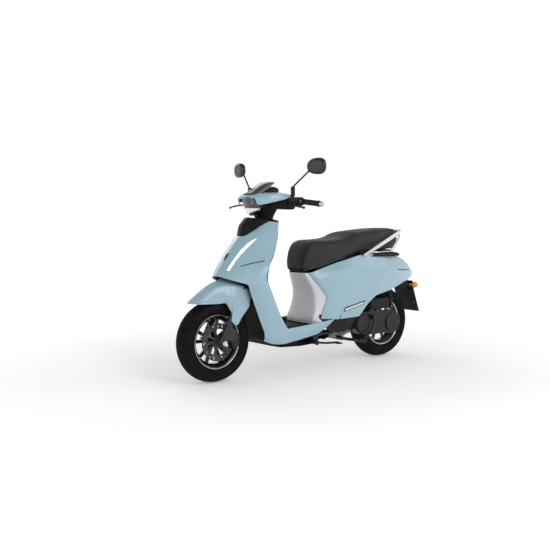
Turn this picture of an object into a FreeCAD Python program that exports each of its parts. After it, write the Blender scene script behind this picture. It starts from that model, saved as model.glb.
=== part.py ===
"""Step-through moped scooter, written as one STEP file for each sub-part in parts/.

Frame: +X forward, +Y to the rider's left, +Z up, in millimetres. The origin is on the ground, below the
middle of the scooter's box. The scooter stands upright with its steering straight and both stands folded.
"""

import FreeCAD
import Part
import math
import os
from FreeCAD import Vector as V

# ---------------------------------------------------------------- driving dimensions
OVERALL_LENGTH = 1930.0
WHEELBASE = 1370.0
TYRE_R = 236.5  # a 120/70-12 tyre
TYRE_W = 118.0
BEAD_R = 152.4  # 12 inch bead seat
RIM_W = 78.0
RAKE = math.radians(26.5)
TRAIL = 80.0
FORK_Y = 88.0  # from the middle plane to each fork leg
FORK_TRAVEL = 70.0
FORK_SWEEP = 116.5  # radius about the steering axis that the turning fork keeps within
SKIN = 3.5  # thickness of a moulded body panel
GAP = 0.5  # joint line between two panels
FLOOR_Z = 284.0
SEAT_HINGE = V(102, 0, 616)
ENGINE_PIVOT = V(-215, 0, 262)  # the bolt that the engine and the rear wheel swing on
SHOCK_TOP = V(-590, 0, 600)
SHOCK_LOW = V(-655, 0, 345)
SHOCK_Y = 100.0
CENTRE_STAND_PIVOT = V(-215, 0, 170)
SIDE_STAND_PIVOT = V(40, 128, 172)
BAR_X = 290.0
BAR_Z = 1040.0
GRIP_INNER = V(266, 240, 1039)
GRIP_OUTER = V(221, 352, 1025)
MIRROR_BASE = V(300, 205, 1058)
MIRROR_HEAD = V(262, 362, 1239)
LOCK = V(352, -78, 800)  # the back of the ignition lock, and the way that its key points
LOCK_OUT = V(-0.975, 0, 0.222)
MIRROR_TOE = 10.6  # degrees that each mirror turns in towards the rider

FRONT_X = OVERALL_LENGTH / 2 - TYRE_R
REAR_X = FRONT_X - WHEELBASE
FRONT_AXLE = V(FRONT_X, 0, TYRE_R)
REAR_AXLE = V(REAR_X, 0, TYRE_R)
UP_FORK = V(-math.sin(RAKE), 0, math.cos(RAKE))  # along the steering axis
AHEAD = V(math.cos(RAKE), 0, math.sin(RAKE))  # square to the steering axis, forward
STEER_FOOT = V(FRONT_X + TRAIL, 0, 0)
AXLE_S = (FRONT_AXLE - STEER_FOOT).dot(UP_FORK)  # the axle's height along the steering axis
FORK_LEAD = (FRONT_AXLE - STEER_FOOT).dot(AHEAD)  # how far the axle leads that axis
X_AXIS, Y_AXIS, Z_AXIS = V(1, 0, 0), V(0, 1, 0), V(0, 0, 1)


# ---------------------------------------------------------------- shape helpers
def save(name, *solids):
    """Writes one sub-part, and stops if one of its solids is not sound."""
    found = [s for shape in solids for s in shape.Solids]
    for solid in found:
        if not solid.isValid() or solid.Volume < 1:
            raise ValueError(f"{name}: a solid is not valid")
    shape = found[0] if len(found) == 1 else Part.makeCompound(found)
    shape.exportStep(f"parts/{name}.step")


def on_fork(s, ahead=0.0, y=0.0):
    """A point at height s along the steering axis, so far ahead of it and to its left."""
    return STEER_FOOT + UP_FORK * s + AHEAD * ahead + V(0, y, 0)


def rod(start, end, radius):
    return Part.makeCylinder(radius, (end - start).Length, start, end - start)


def pipe(points, radius):
    """A round bar through the points, with a ball at each corner."""
    shape = rod(points[0], points[1], radius)
    for i in range(1, len(points) - 1):
        shape = shape.fuse([Part.makeSphere(radius, points[i]), rod(points[i], points[i + 1], radius)])
    return shape.removeSplitter()


def tube(start, end, outer, inner):
    return rod(start, end, outer).cut(rod(start, end, inner))


def plate(outline, y_low, y_high):
    """A flat plate whose outline is given as (x, z), from y_low to y_high."""
    corners = [V(x, y_low, z) for x, z in outline]
    face = Part.Face(Part.makePolygon(corners + [corners[0]]))
    return face.extrude(V(0, y_high - y_low, 0))


def front_plate(outline, x_low, x_high):
    """A flat plate whose outline is given as (y, z), from x_low to x_high."""
    corners = [V(x_low, y, z) for y, z in outline]
    face = Part.Face(Part.makePolygon(corners + [corners[0]]))
    return face.extrude(V(x_high - x_low, 0, 0))


def strip(line, thickness, y_half):
    """A bent sheet that follows the (x, z) line, as wide as 2 y_half."""
    points = [V(x, 0, z) for x, z in line]
    other = []
    for i, p in enumerate(points):
        before, after = points[max(i - 1, 0)], points[min(i + 1, len(points) - 1)]
        along = (after - before).normalize()
        other.append(p + V(-along.z, 0, along.x) * thickness)
    return plate([(p.x, p.z) for p in points + other[::-1]], -y_half, y_half)


def box(low, high):
    return Part.makeBox(high[0] - low[0], high[1] - low[1], high[2] - low[2], V(*low))


def soft_box(low, high, radius):
    shape = box(low, high)
    return shape.makeFillet(radius, shape.Edges)


def mirrored(shape):
    return shape.mirror(V(0, 0, 0), Y_AXIS)


def both(shape):
    return [shape, mirrored(shape)]


def spin(profile, centre):
    """Turns a closed (radius, y) outline about the Y axis through a wheel's centre."""
    corners = [V(centre.x, y, centre.z + r) for r, y in profile]
    face = Part.Face(Part.makePolygon(corners + [corners[0]]))
    return face.revolve(centre, Y_AXIS, 360)


def curve(points):
    spline = Part.BSplineCurve()
    spline.interpolate(points)
    return spline.toShape()


def bow(z, front, edge_x, edge_y, power, count=13):
    """Points of a panel's plan at height z: its nose on the middle plane, falling back to both edges."""
    steps = [1 - 2 * i / (count - 1) for i in range(count)]
    return [V(front - (front - edge_x) * abs(s) ** power, edge_y * s, z) for s in steps]


def bowed_sheet(stations, power, thickness):
    """A thin sheet through plan sections (z, nose x, edge x, edge y)."""
    wires = []
    for z, front, edge_x, edge_y in stations:
        outer = bow(z, front, edge_x, edge_y, power)
        inner = bow(z, front - thickness, edge_x - 0.3 * thickness, edge_y - thickness, power)[::-1]
        edges = [
            curve(outer),
            Part.makeLine(outer[-1], inner[0]),
            curve(inner),
            Part.makeLine(inner[-1], outer[0]),
        ]
        wires.append(Part.Wire(edges))
    return Part.makeLoft(wires, True, False)


def bowed_block(stations, power):
    """A solid through plan sections (z, nose x, back x, half width), flat at its back."""
    wires = []
    for z, front, back, half in stations:
        outer = bow(z, front, back, half, power)
        wires.append(Part.Wire([curve(outer), Part.makeLine(outer[-1], outer[0])]))
    return Part.makeLoft(wires, True, False)


# ---------------------------------------------------------------- wheels
def make_tyre(centre):
    """A 120/70-12 tyre as a hollow carcass that seats on the rim's beads."""
    half = TYRE_W / 2
    outside = [(BEAD_R + 1, 29), (BEAD_R + 12.5, 37), (BEAD_R + 19, 44), (186, 54), (203, half),
        (216, 55)]
    outside += [(227, 43), (234, 26), (TYRE_R, 0)]
    inside = [(228, 0), (225, 25), (217, 40), (203, 49), (186, 45), (BEAD_R + 12, 31), (BEAD_R + 1, 24)]
    side = outside + [(r, -y) for r, y in outside[-2::-1]]
    back = [(r, -y) for r, y in inside[::-1]] + inside[1:]
    return spin(side + back, centre)


def make_rim(centre, spokes, axle_r):
    """A cast rim with forked spokes and a bored hub."""
    lip, well, bed = BEAD_R + 12, BEAD_R - 17, BEAD_R - 1
    hoop = [(lip, 39), (bed, 33), (bed, 22), (well, 14), (well, -14), (bed, -22), (bed, -33),
        (lip, -39)]
    hoop += [(lip - 6, -42), (bed - 6, -36), (well - 7, -16), (well - 7, 16), (bed - 6, 36),
        (lip - 6, 42)]
    shape = spin(hoop, centre)
    hub = rod(centre + V(0, -38, 0), centre + V(0, 38, 0), 31)
    shape = shape.fuse(hub)
    for i in range(spokes):
        at = 2 * math.pi * i / spokes + math.pi / 2
        for lean in (-1, 1):
            root = at + lean * 0.16
            tip = at + lean * 0.24
            start = centre + V(math.cos(root) * 24, 0, math.sin(root) * 24)
            end = centre + V(math.cos(tip) * (well - 4), 0, math.sin(tip) * (well - 4))
            run = end - start
            spoke = Part.makeBox(run.Length, 11, 20, V(0, -5.5, -10))
            spoke.rotate(V(0, 0, 0), Y_AXIS, -math.degrees(math.atan2(run.z, run.x)))
            spoke.translate(start)
            shape = shape.fuse(spoke)
    bore = rod(centre + V(0, -60, 0), centre + V(0, 60, 0), axle_r)
    return shape.cut(bore).removeSplitter()


def make_disc(centre):
    """The slotted 220 mm brake disc on the left of the front wheel, with its carrier."""
    ring = tube(centre + V(0, 46, 0), centre + V(0, 50, 0), 110, 76)
    carrier = tube(centre + V(0, 38, 0), centre + V(0, 46, 0), 34, 9)
    for i in range(5):
        angle = 2 * math.pi * i / 5
        arm = box((20, 46, -9), (80, 49, 9))
        arm.rotate(V(0, 0, 0), Y_AXIS, math.degrees(angle))
        arm.translate(V(centre.x, 0, centre.z))
        ring = ring.fuse(arm)
    hub = tube(centre + V(0, 45.5, 0), centre + V(0, 50, 0), 34, 9)
    shape = ring.fuse([carrier, hub])
    for i in range(20):
        angle = 2 * math.pi * i / 20
        slot = box((84, 40, -3), (104, 56, 3))
        slot.rotate(V(94, 0, 0), Y_AXIS, 35)
        slot.rotate(V(0, 0, 0), Y_AXIS, math.degrees(angle))
        slot.translate(V(centre.x, 0, centre.z))
        shape = shape.cut(slot)
    return shape.removeSplitter()


# ---------------------------------------------------------------- fork and steering
YOKE_S = 655.0
HEAD_LOW_S = 690.0
HEAD_HIGH_S = 880.0


def make_fork_yoke():
    """Lower yoke with its stem and the two chromed stanchions, and the ears that carry the mudguard."""
    low, high = on_fork(YOKE_S), on_fork(YOKE_S + 26)
    bridge = soft_box((-32, -FORK_Y - 22, 0), (48, FORK_Y + 22, 26), 6)
    bridge.rotate(V(0, 0, 0), Y_AXIS, -math.degrees(RAKE))
    bridge.translate(low)
    stem = rod(high - UP_FORK * 10, on_fork(1120), 12.7)
    shape = bridge.fuse(stem)
    for side in (-1, 1):
        y = side * FORK_Y
        shape = shape.fuse(rod(on_fork(AXLE_S + 185, FORK_LEAD, y), on_fork(YOKE_S + 30, FORK_LEAD, y),
            15))
    return shape.removeSplitter()


def make_fork_sliders():
    """Each lower leg, bored for its stanchion, with a lug that holds the axle."""
    shapes = []
    for side in (-1, 1):
        y = side * FORK_Y
        low, high = on_fork(AXLE_S + 4, FORK_LEAD, y), on_fork(AXLE_S + 265, FORK_LEAD, y)
        leg = rod(low, high, 20)
        lug = rod(FRONT_AXLE + V(0, y - 14, 0), FRONT_AXLE + V(0, y + 14, 0), 22)
        bore = rod(on_fork(AXLE_S + 100, FORK_LEAD, y), high + UP_FORK * 5, 15.05)
        hole = rod(FRONT_AXLE + V(0, y - 24, 0), FRONT_AXLE + V(0, y + 24, 0), 7.5)
        leg = leg.fuse(lug)
        if side > 0:
            mount = plate([(700, 250), (690, 300), (664, 330), (622, 290), (620, 250), (650, 238)],
                y - 3.8, y + 3)
            leg = leg.fuse(mount)
        shapes.append(leg.cut(bore).cut(hole).removeSplitter())
    return shapes


def make_front_axle():
    """The spindle with its head and nut outside the fork legs."""
    reach = FORK_Y + 20
    pin = rod(FRONT_AXLE + V(0, -reach - 12, 0), FRONT_AXLE + V(0, reach + 10, 0), 7.45)
    head = rod(FRONT_AXLE + V(0, reach + 0.2, 0), FRONT_AXLE + V(0, reach + 10, 0), 13)
    nut = rod(FRONT_AXLE + V(0, -reach - 12, 0), FRONT_AXLE + V(0, -reach - 0.2, 0), 12)
    return pin.fuse([head, nut]).removeSplitter()


def make_caliper():
    """The brake caliper behind the left fork leg, bridging the disc."""
    body = plate([(602, 205), (640, 190), (656, 236), (648, 298), (614, 300), (594, 262)], 32, 78)
    disc_room = rod(FRONT_AXLE + V(0, 44.4, 0), FRONT_AXLE + V(0, 51.6, 0), 112)
    boss = rod(V(634, 78, 268), V(634, 84, 268), 9)
    return body.cut(disc_room).fuse(boss).removeSplitter()


def make_front_mudguard():
    """The beaked mudguard with a cover down each fork leg."""
    line = [  # x, z of its ridge, then half width and the height of its lower edge
        (904, 468, 8, 462),
        (876, 492, 38, 462),
        (850, 512, 58, 461),
        (826, 530, 66, 461),
        (770, 560, 70, 460),
        (700, 580, 72, 458),
        (630, 586, 73, 462),
        (570, 575, 73, 470),
        (530, 550, 70, 472),
    ]

    def skin(grow):
        wires = []
        for x, top, half, low in line:
            w, t = half - grow, top - grow
            low = low - 3 * grow
            shoulder = low + 0.62 * (t - low)
            points = [V(x, w, low), V(x, w * 0.98, shoulder), V(x, w * 0.62, t - 0.12 * (t - low))]
            points += [V(x, 0, t)] + [V(p.x, -p.y, p.z) for p in points[::-1]]
            wires.append(Part.makePolygon(points + [points[0]]))
        return Part.makeLoft(wires, True, True)
    outer, inner = skin(0), skin(SKIN)
    shell = outer.cut(inner).cut(box((400, -200, 300), (1000, 200, 457)))
    shell = shell.cut(box((500, -60, 440), (540, 60, 560)))
    shapes = [s for s in shell.Solids if s.Volume > 5000]
    cover = plate([(690, 470), (678, 434), (667, 396), (676, 362), (640, 334), (560, 436), (540, 486)],
        110, 113.5)
    web = plate([(690, 470), (684, 452), (560, 452), (540, 486), (560, 500), (680, 500)], 64, 113.5)
    web = web.cut(plate([(700, 440), (700, 496), (540, 496), (540, 440)], 60, 110))
    boss = box((524, -20, 540), (546, 20, 610)).cut(skin(0))
    shape = shapes[0].fuse([cover, web, mirrored(cover), mirrored(web), boss])
    for side in (-1, 1):
        leg = rod(on_fork(300, FORK_LEAD, side * FORK_Y), on_fork(760, FORK_LEAD, side * FORK_Y), 23)
        shape = shape.cut(leg)
    return shape.cut(make_fork_yoke())


def make_handlebar():
    """The swept-back bar clamped to the top of the steering stem, with a weight in each end."""
    clamp = tube(on_fork(1106), on_fork(1150), 16.5, 12.75)
    left = [V(BAR_X + 12, 0, BAR_Z - 2), V(BAR_X + 2, 110, BAR_Z + 4), GRIP_INNER, GRIP_OUTER]
    out = (GRIP_OUTER - GRIP_INNER).normalize()
    weight = rod(GRIP_OUTER, GRIP_OUTER + out * 22, 14)
    half = pipe(left, 11).fuse(weight)
    post = rod(on_fork(1122), on_fork(1160), 16.5)
    shape = half.fuse([mirrored(half), clamp, post])
    return shape.cut(rod(on_fork(1000), on_fork(1120.3), 12.75)).removeSplitter()


def make_grip(side):
    along = GRIP_OUTER - GRIP_INNER
    out = along.normalize()
    start, end = GRIP_INNER + out * 6, GRIP_OUTER - out * 1.0
    shape = rod(start, end, 16.5)
    for ring in (0.04, 0.94):
        at = start + (end - start) * ring
        shape = shape.fuse(rod(at, at + out * 5, 19))
    shape = shape.cut(rod(start - out * 5, end + out * 5, 11.05))
    return shape if side > 0 else mirrored(shape)


LEVER_PIVOT = V(318, 232, 1020)
LEVER_TIP = V(343, 350, 1003)


def make_control_housings():
    """On each side: the switch box round the bar, the lever's bracket and the fluid reservoir."""
    halves = []
    for side in (1, -1):
        body = soft_box((244, 192, 1012), (300, 238, 1064), 8)
        bracket = soft_box((286, 200, 1006), (330, 246, 1036), 5)
        slot = box((296, 222, 1012.5), (345, 262, 1027.5))
        pivot = rod(LEVER_PIVOT + V(0, 0, -14), LEVER_PIVOT + V(0, 0, 16), 4)
        cup = soft_box((288, 196, 1036), (334, 240, 1062), 6)
        boss = rod(V(MIRROR_BASE.x, MIRROR_BASE.y, 1050), V(MIRROR_BASE.x, MIRROR_BASE.y, 1070), 9)
        shape = body.fuse([bracket, cup, boss]).cut(slot).fuse(pivot)
        low = GRIP_INNER + (V(BAR_X + 2, 110, BAR_Z + 4) - GRIP_INNER) * 0.6
        tunnel = rod(low, GRIP_INNER, 11.2).fuse(rod(GRIP_INNER, GRIP_OUTER, 11.2))
        shape = shape.cut(tunnel).cut(Part.makeSphere(11.2, GRIP_INNER))
        if side > 0:
            shape = shape.cut(box((236, 205, 1016), (255, 219, 1028)))
            shape = shape.cut(box((236, 204, 1037), (255, 228, 1051)))
        else:
            shape = shape.cut(box((236, 206, 1021), (255, 222, 1035)))
        halves.append(shape if side > 0 else mirrored(shape))
    return halves


def make_lever(side):
    """A ball-ended brake lever, bored for its pivot."""
    blade = pipe([LEVER_PIVOT, V(338, 262, 1017), V(352, 306, 1010), LEVER_TIP], 5.2)
    eye = rod(LEVER_PIVOT + V(0, 0, -6), LEVER_PIVOT + V(0, 0, 6), 8.5)
    ball = Part.makeSphere(8, LEVER_TIP)
    shape = blade.fuse([eye, ball]).cut(rod(LEVER_PIVOT + V(0, 0, -20), LEVER_PIVOT + V(0, 0, 20),
        4.05))
    return shape if side > 0 else mirrored(shape)


STEM_TOP = MIRROR_HEAD + V(6, -52, -26)


def make_mirror_stem(side):
    base = V(MIRROR_BASE.x, MIRROR_BASE.y, 1070.3)
    shape = rod(base, base + V(0, 0, 30), 9)
    elbow = base + V(0, 0, 46)
    shape = shape.fuse(pipe([base + V(0, 0, 20), elbow, elbow + V(0, 8, 12), STEM_TOP], 5))
    shape = shape.fuse(Part.makeSphere(9, STEM_TOP))
    return shape if side > 0 else mirrored(shape)


def make_mirror_head(side):
    """The mirror's rounded shell, with a socket for the stem's ball and the glass at its back."""
    wires = []
    for depth, grow in ((14, 0.55), (9, 0.86), (0, 1.0), (-12, 0.98)):
        points = []
        for i in range(20):
            angle = 2 * math.pi * i / 20
            c, s = math.cos(angle), math.sin(angle)
            wide = 66 * math.copysign(abs(c) ** 0.8, c)
            tall = (46 + 6 * c) * math.copysign(abs(s) ** 0.8, s)
            points.append(V(depth, wide * grow, tall * grow))
        spline = Part.BSplineCurve()
        spline.interpolate(points, PeriodicFlag=True)
        wires.append(Part.Wire([spline.toShape()]))
    shape = Part.makeLoft(wires, True, False)
    shape.rotate(V(0, 0, 0), Z_AXIS, MIRROR_TOE)
    shape.translate(MIRROR_HEAD)
    arm = rod(STEM_TOP + V(0, 3, 2), MIRROR_HEAD + V(2, -30, -14), 12)
    shape = shape.fuse(arm)
    shape = shape.cut(Part.makeSphere(9.3, STEM_TOP)).cut(rod(STEM_TOP, STEM_TOP + V(-2, -40, -40),
        9.3))
    return shape if side > 0 else mirrored(shape)


LAMP = [  # z, nose x, back x, half width
    (962, 428, 385, 44),
    (985, 444, 385, 66),
    (1010, 452, 385, 80),
    (1040, 455, 385, 86),
    (1062, 446, 385, 80),
]
COWL = [
    (1016, 438, 292, 120),
    (1040, 452, 292, 176),
    (1062, 450, 292, 193),
    (1080, 432, 292, 180),
    (1092, 396, 292, 130),
]


def smaller(stations, by):
    """The same sections moved inwards, for the inside of a shell."""
    made = [(z, front - by, back - 30, half - by) for z, front, back, half in stations]
    made[0] = (stations[0][0] - 0.1,) + made[0][1:]
    made[-1] = (stations[-1][0] - by,) + made[-1][1:]
    return made


def make_headset_front():
    """The painted upper cowl round the headlamp."""
    shell = bowed_block(COWL, 2.3).cut(bowed_block(smaller(COWL, SKIN), 2.3))
    lamp_room = bowed_block([(z, front + 60, back - 2, half + 1.5) for z, front, back, half in LAMP], 4)
    shell = shell.cut(lamp_room)
    bar_room = box((240, -260, 1000), (300, 260, 1060))
    shell = shell.cut(bar_room)
    return max(shell.Solids, key=lambda s: s.Volume)


def make_headset_rear():
    """The black lower cowl: a collar round the stem that spreads out behind the bar."""
    collar = [(928, 396, 306, 54), (950, 400, 301, 58), (975, 410, 293, 68), (1000, 424, 286, 82),
        (1014.5, 430, 283, 92)]
    outer, inner = [], []
    for z, front, back, half in collar:
        mid, deep = (front + back) / 2, (front - back) / 2
        outer.append((z, mid, deep, half))
        inner.append((z, mid, deep - SKIN, half - SKIN))
    def stack(rows):
        wires = []
        for z, mid, deep, half in rows:
            points = []
            for i in range(24):
                angle = 2 * math.pi * i / 24
                points.append(V(mid + deep * math.cos(angle), half * math.sin(angle), z))
            spline = Part.BSplineCurve()
            spline.interpolate(points, PeriodicFlag=True)
            wires.append(Part.Wire([spline.toShape()]))
        return Part.makeLoft(wires, True, False)
    shell = stack(outer).cut(stack(inner))
    lamp_room = bowed_block([(z - 2 * (z < 970), front + 60, 383, half + 1.5) for z, front, _,
        half in LAMP], 4)
    shell = shell.cut(lamp_room)
    wings = soft_box((256, -188, 1004), (291.5, 188, 1076), 10)
    wings = wings.cut(soft_box((259.5, -184, 1007.5), (310, 184, 1072), 8))
    wings = wings.cut(box((291, -300, 900), (330, 300, 1200)))
    bar_hole = rod(V(280, -300, 1040), V(280, 300, 1040), 17)
    shell = shell.fuse(wings).cut(bar_hole).cut(rod(on_fork(1085), on_fork(1175), 17.5))
    return max(shell.Solids, key=lambda s: s.Volume)


def make_headlamp():
    outer = bowed_block(LAMP, 4)
    inner = [(z + (3 if z < 970 else -3 if z > 1060 else 0), f - 3, 380, h - 3) for z, f, _, h in LAMP]
    return outer.cut(bowed_block(inner, 4))


def make_visor():
    """The instrument pod and the small dark screen that rises over it."""
    side = [(452, 1093), (436, 1108), (300, 1158), (283, 1160), (296, 1140), (330, 1112), (340, 1093)]
    body = plate(side, -66, 66)
    for sign in (-1, 1):
        wedge = front_plate([(sign * 30, 1165), (sign * 70, 1165), (sign * 70, 1098)], 250, 470)
        body = body.cut(wedge)
    return body


# ---------------------------------------------------------------- body
SHIELD = [  # z, nose x, edge x, edge y
    (602, 711, 497, 210),
    (650, 680, 486, 211),
    (718, 636, 450, 201),
    (781, 590, 411, 186),
    (845, 532, 384, 168),
    (905, 478, 363, 151),
    (932, 450, 357, 143),
]
TOP_WEDGE = [(-44, 842), (44, 842), (132, 940), (-132, 940)]


def make_shields():
    """The painted leg shield and the black panel let into its top."""
    shell = bowed_sheet(SHIELD, 1.85, SKIN)
    wedge = front_plate(TOP_WEDGE, 380, 760)
    gap = front_plate([(y * 1.006, z - 0.6) for y, z in TOP_WEDGE], 380, 760)
    lip = front_plate([(-146, 567), (-146, 601), (146, 601), (146, 567)], 400, 760)
    painted = shell.cut(gap).cut(lip)
    lid = bowed_block([(926, 451, 345, 124), (932, 447, 345, 124)], 1.85)
    neck_room = rod(on_fork(1000), on_fork(1070), 70)
    lid = lid.fuse(box((300, -125, 926), (346, 125, 932))).cut(neck_room)
    top = shell.common(wedge).fuse(lid)
    top = max(top.Solids, key=lambda s: s.Volume)
    painted = painted.cut(top)
    return max(painted.Solids, key=lambda s: s.Volume), top


def make_inner_shield():
    """The black inner leg shield, with its bulge round the head tube, a bag hook and the lock."""
    stations = [
        (296, 322, 345, 150),
        (393, 324, 380, 172),
        (505, 334, 432, 184),
        (586, 342, 480, 198),
        (670, 344, 468, 200),
        (781, 330, 399, 176),
        (880, 306, 362, 148),
        (924, 300, 352, 136),
    ]
    wires = []
    for z, middle, edge_x, edge_y in stations:
        outer = bow(z, middle, edge_x, edge_y, 2.4)
        inner = bow(z, middle + SKIN, edge_x + 0.5, edge_y - SKIN, 2.4)[::-1]
        sides = [Part.makeLine(outer[-1], inner[0]), Part.makeLine(inner[-1], outer[0])]
        wires.append(Part.Wire([curve(outer), sides[0], curve(inner), sides[1]]))
    shell = Part.makeLoft(wires, True, False)
    hook = pipe([V(345, 0, 556), V(318, 0, 552), V(310, 0, 566)], 5)
    lock = rod(LOCK, LOCK + LOCK_OUT * 26, 17)
    shape = shell.fuse([hook, lock])
    shape = shape.cut(rod(on_fork(1010), on_fork(1100), 62))
    return shape.cut(rod(LOCK + LOCK_OUT * 3, LOCK + LOCK_OUT * 60, 10.05)).removeSplitter()


LEG = [  # z, front x, front y, rear x, rear y
    (599, 594, 152, 497, 208),
    (560, 582, 146, 480, 206),
    (505, 562, 146, 444, 196),
    (450, 541, 147, 414, 190),
    (393, 518, 149, 385, 186),
    (340, 498, 152, 350, 182),
    (288, 477, 158, 313, 178),
]


def make_sill():
    """One painted lower side: the shield's leg, turning back into the sill under the floor."""
    wires = []
    for z, x_front, y_front, x_rear, y_rear in LEG:
        middle = V((x_front + x_rear) / 2, (y_front + y_rear) / 2 + 7, z)
        front, rear = V(x_front, y_front, z), V(x_rear, y_rear, z)
        back = V(0, -SKIN, 0)
        outer = curve([front, middle, rear])
        inner = curve([rear + back, middle + back, front + back])
        wires.append(Part.Wire([outer, Part.makeLine(rear, rear + back), inner,
            Part.makeLine(front + back, front)]))
    leg = Part.makeLoft(wires, True, False)
    outline = [(477, 288.5), (313, 288.5), (-66, 314), (40, 240), (120, 222), (325, 200), (466, 212)]
    sill = plate(outline, 178 - SKIN, 178)
    nose = plate([(477, 288.5), (440, 288.5), (440, 206), (466, 212)], 158, 178)
    return leg.fuse([sill, nose]).removeSplitter()


def make_floor():
    """The black floor, rising to meet the panels before and behind, with a rib along each side."""
    board = plate([(330, FLOOR_Z - 8), (330, FLOOR_Z), (40, FLOOR_Z), (-60, 306), (-60, 298),
        (36, 276)], -173, 173)
    front = plate([(318, 283), (318, 292), (304, 352), (298, 352), (308, 292), (300, 284)], -150, 150)
    rise = bowed_block([(FLOOR_Z - 4, 76, -20, 166), (344, 66, -20, 160)], 5)
    rise = rise.cut(bowed_block([(270, 72, -60, 162), (350, 62, -60, 156)], 5))
    shape = board.fuse([front, rise])
    for i in range(5):
        y = 58 + 20 * i
        rib = box((110, y, FLOOR_Z - 1), (285, y + 8, FLOOR_Z + 2.5))
        shape = shape.fuse([rib, mirrored(rib)])
    return shape.removeSplitter()


BELLY = [(512, 560), (462, 430), (438, 300), (436, 228), (412, 192), (330, 174), (170, 166), (20, 172),
    (-70, 204)]


def make_belly():
    """The splash panel behind the front wheel, running on under the floor."""
    shape = strip(BELLY, -SKIN, 134)
    shape = shape.cut(rod(on_fork(420), on_fork(760), FORK_SWEEP))
    slot = box((SIDE_STAND_PIVOT.x - 60, 96, 150), (SIDE_STAND_PIVOT.x + 30, 140, 190))
    return shape.cut(slot)


CENTRE = [  # z, nose x, back x, half width
    (346, 64, 10, 176),
    (400, 50, -10, 168),
    (468, 46, -30, 156),
    (530, 72, 0, 128),
    (598, 106, 64, 96),
]


def make_centre_panel():
    """The pale panel below the seat's nose."""
    outer = bowed_block(CENTRE, 3.0)
    inner = bowed_block([(z, f - SKIN, b - 30, h - SKIN) for z, f, b, h in CENTRE], 3.0)
    grown = [(CENTRE[0][0] - 1,) + (CENTRE[0][1] - SKIN, -40, 172), (599,) + (102, 30, 92)]
    shell = outer.cut(inner).cut(bowed_block(grown, 3.0).common(box((-60, -60, 340), (40, 60, 600))))
    beside = plate([(x + 1, z) for x, z in FLANK_OUTLINE], 5, 260)
    shell = shell.cut(beside).cut(mirrored(beside))
    return max(shell.Solids, key=lambda s: s.Volume)


FLANK = [  # x, then height and half width of the top edge, the crease and the bottom edge
    (130, 600, 84, 560, 92, 290, 120),
    (60, 616, 98, 560, 112, 290, 160),
    (0, 632, 112, 568, 136, 290, 176),
    (-100, 660, 126, 606, 158, 290, 183),
    (-220, 690, 134, 622, 169, 296, 184),
    (-340, 706, 134, 624, 172, 330, 182),
    (-450, 704, 126, 616, 168, 400, 174),
    (-600, 694, 110, 604, 152, 450, 154),
    (-740, 668, 92, 590, 124, 490, 118),
    (-840, 632, 74, 578, 92, 505, 84),
    (-930, 574, 46, 555, 50, 525, 46),
]
FLANK_OUTLINE = [
    (64, 597), (-104, 652), (-340, 700), (-600, 690), (-740, 664), (-836, 626), (-880, 600),
    (-928, 553),
    (-920, 530), (-869, 512), (-753, 505), (-449, 444), (-367, 396), (-293, 316), (-70, 317), (20, 323),
    (-34, 440), (-24, 462),
]


def flank(inset):
    """One side of the body aft of the seat's nose, from its top edge out to the crease and down."""
    wires = []
    for x, z_top, y_top, z_mid, y_mid, z_low, y_low in FLANK:
        points = [V(x, y_top - inset, z_top), V(x, y_mid - inset, z_mid),
            V(x, (y_mid + y_low) / 2 - inset, 0.5 * (z_mid + z_low)), V(x, y_low - inset, z_low)]
        closing = [V(x, -10, z_low), V(x, -10, z_top)]
        wires.append(Part.makePolygon(points + closing + [points[0]]))
    return Part.makeLoft(wires, True, True)


def make_flank():
    shell = flank(0).cut(flank(SKIN))
    shell = shell.common(plate(FLANK_OUTLINE, 5, 260)).common(box((-1000, 30, 200), (200, 260, 800)))
    return max(shell.Solids, key=lambda s: s.Volume)


def make_tail_cover():
    """The painted lid of the tail, between the grab rail's foot and the tail lamp."""
    stations = [(-600, 690, 104), (-740, 664, 86), (-836, 628, 68), (-872, 604, 58)]
    wires = []
    for x, z, half in stations:
        upper = [V(x, half, z - 6), V(x, half * 0.6, z + 3), V(x, 0, z + 6), V(x, -half * 0.6, z + 3),
            V(x, -half, z - 6)]
        lower = [p - V(0, 0, SKIN) for p in upper[::-1]]
        wires.append(Part.makePolygon(upper + lower + [upper[0]]))
    return Part.makeLoft(wires, True, True)


def make_tail_lamp():
    outline = [(-876, 600), (-930, 554), (-922, 534), (-862, 560), (-862, 592)]
    shape = plate(outline, -44, 44)
    return shape


def make_grab_rail():
    """The rail round the tail of the seat: each arm rises to the rear and returns to the tail below."""
    left = [V(-352, 150, 704), V(-560, 146, 792), V(-700, 128, 838), V(-744, 100, 842), V(-762, 0, 842)]
    foot = [V(-744, 100, 842), V(-706, 124, 790), V(-634, 124, 712)]
    half = pipe(left, 11).fuse(pipe(foot, 9))
    shape = half.fuse(mirrored(half)).removeSplitter()
    pad = plate([(-600, 700), (-700, 700), (-650, 722), (-618, 722)], 112, 132)
    return shape.fuse([pad, mirrored(pad)]).removeSplitter()


def make_rear_mudguard():
    """The inner arch over the rear wheel, and the holder behind it that carries the number plate."""
    arch = []
    for degrees in range(60, 144, 7):
        a = math.radians(degrees)
        arch.append((REAR_X + 328 * math.cos(a), TYRE_R + 328 * math.sin(a)))
    sheet = strip(arch, -SKIN, 76)
    holder = strip([(-890, 502), (-904, 440), (-933, 360), (-961.5, 286)], 4, 90)
    for y in (-60, 60):
        holder = holder.cut(rod(V(-990, y, 344), V(-880, y, 344), 3.2))
    arm = plate([(-862, 528), (-880, 528), (-894, 490), (-903, 452), (-890, 440), (-872, 470)], -40, 40)
    brace = plate([(-862, 528), (-880, 490), (-904, 446), (-905, 432), (-898, 432)], -40, 40)
    return sheet.fuse([holder, arm, brace]).removeSplitter()


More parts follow.
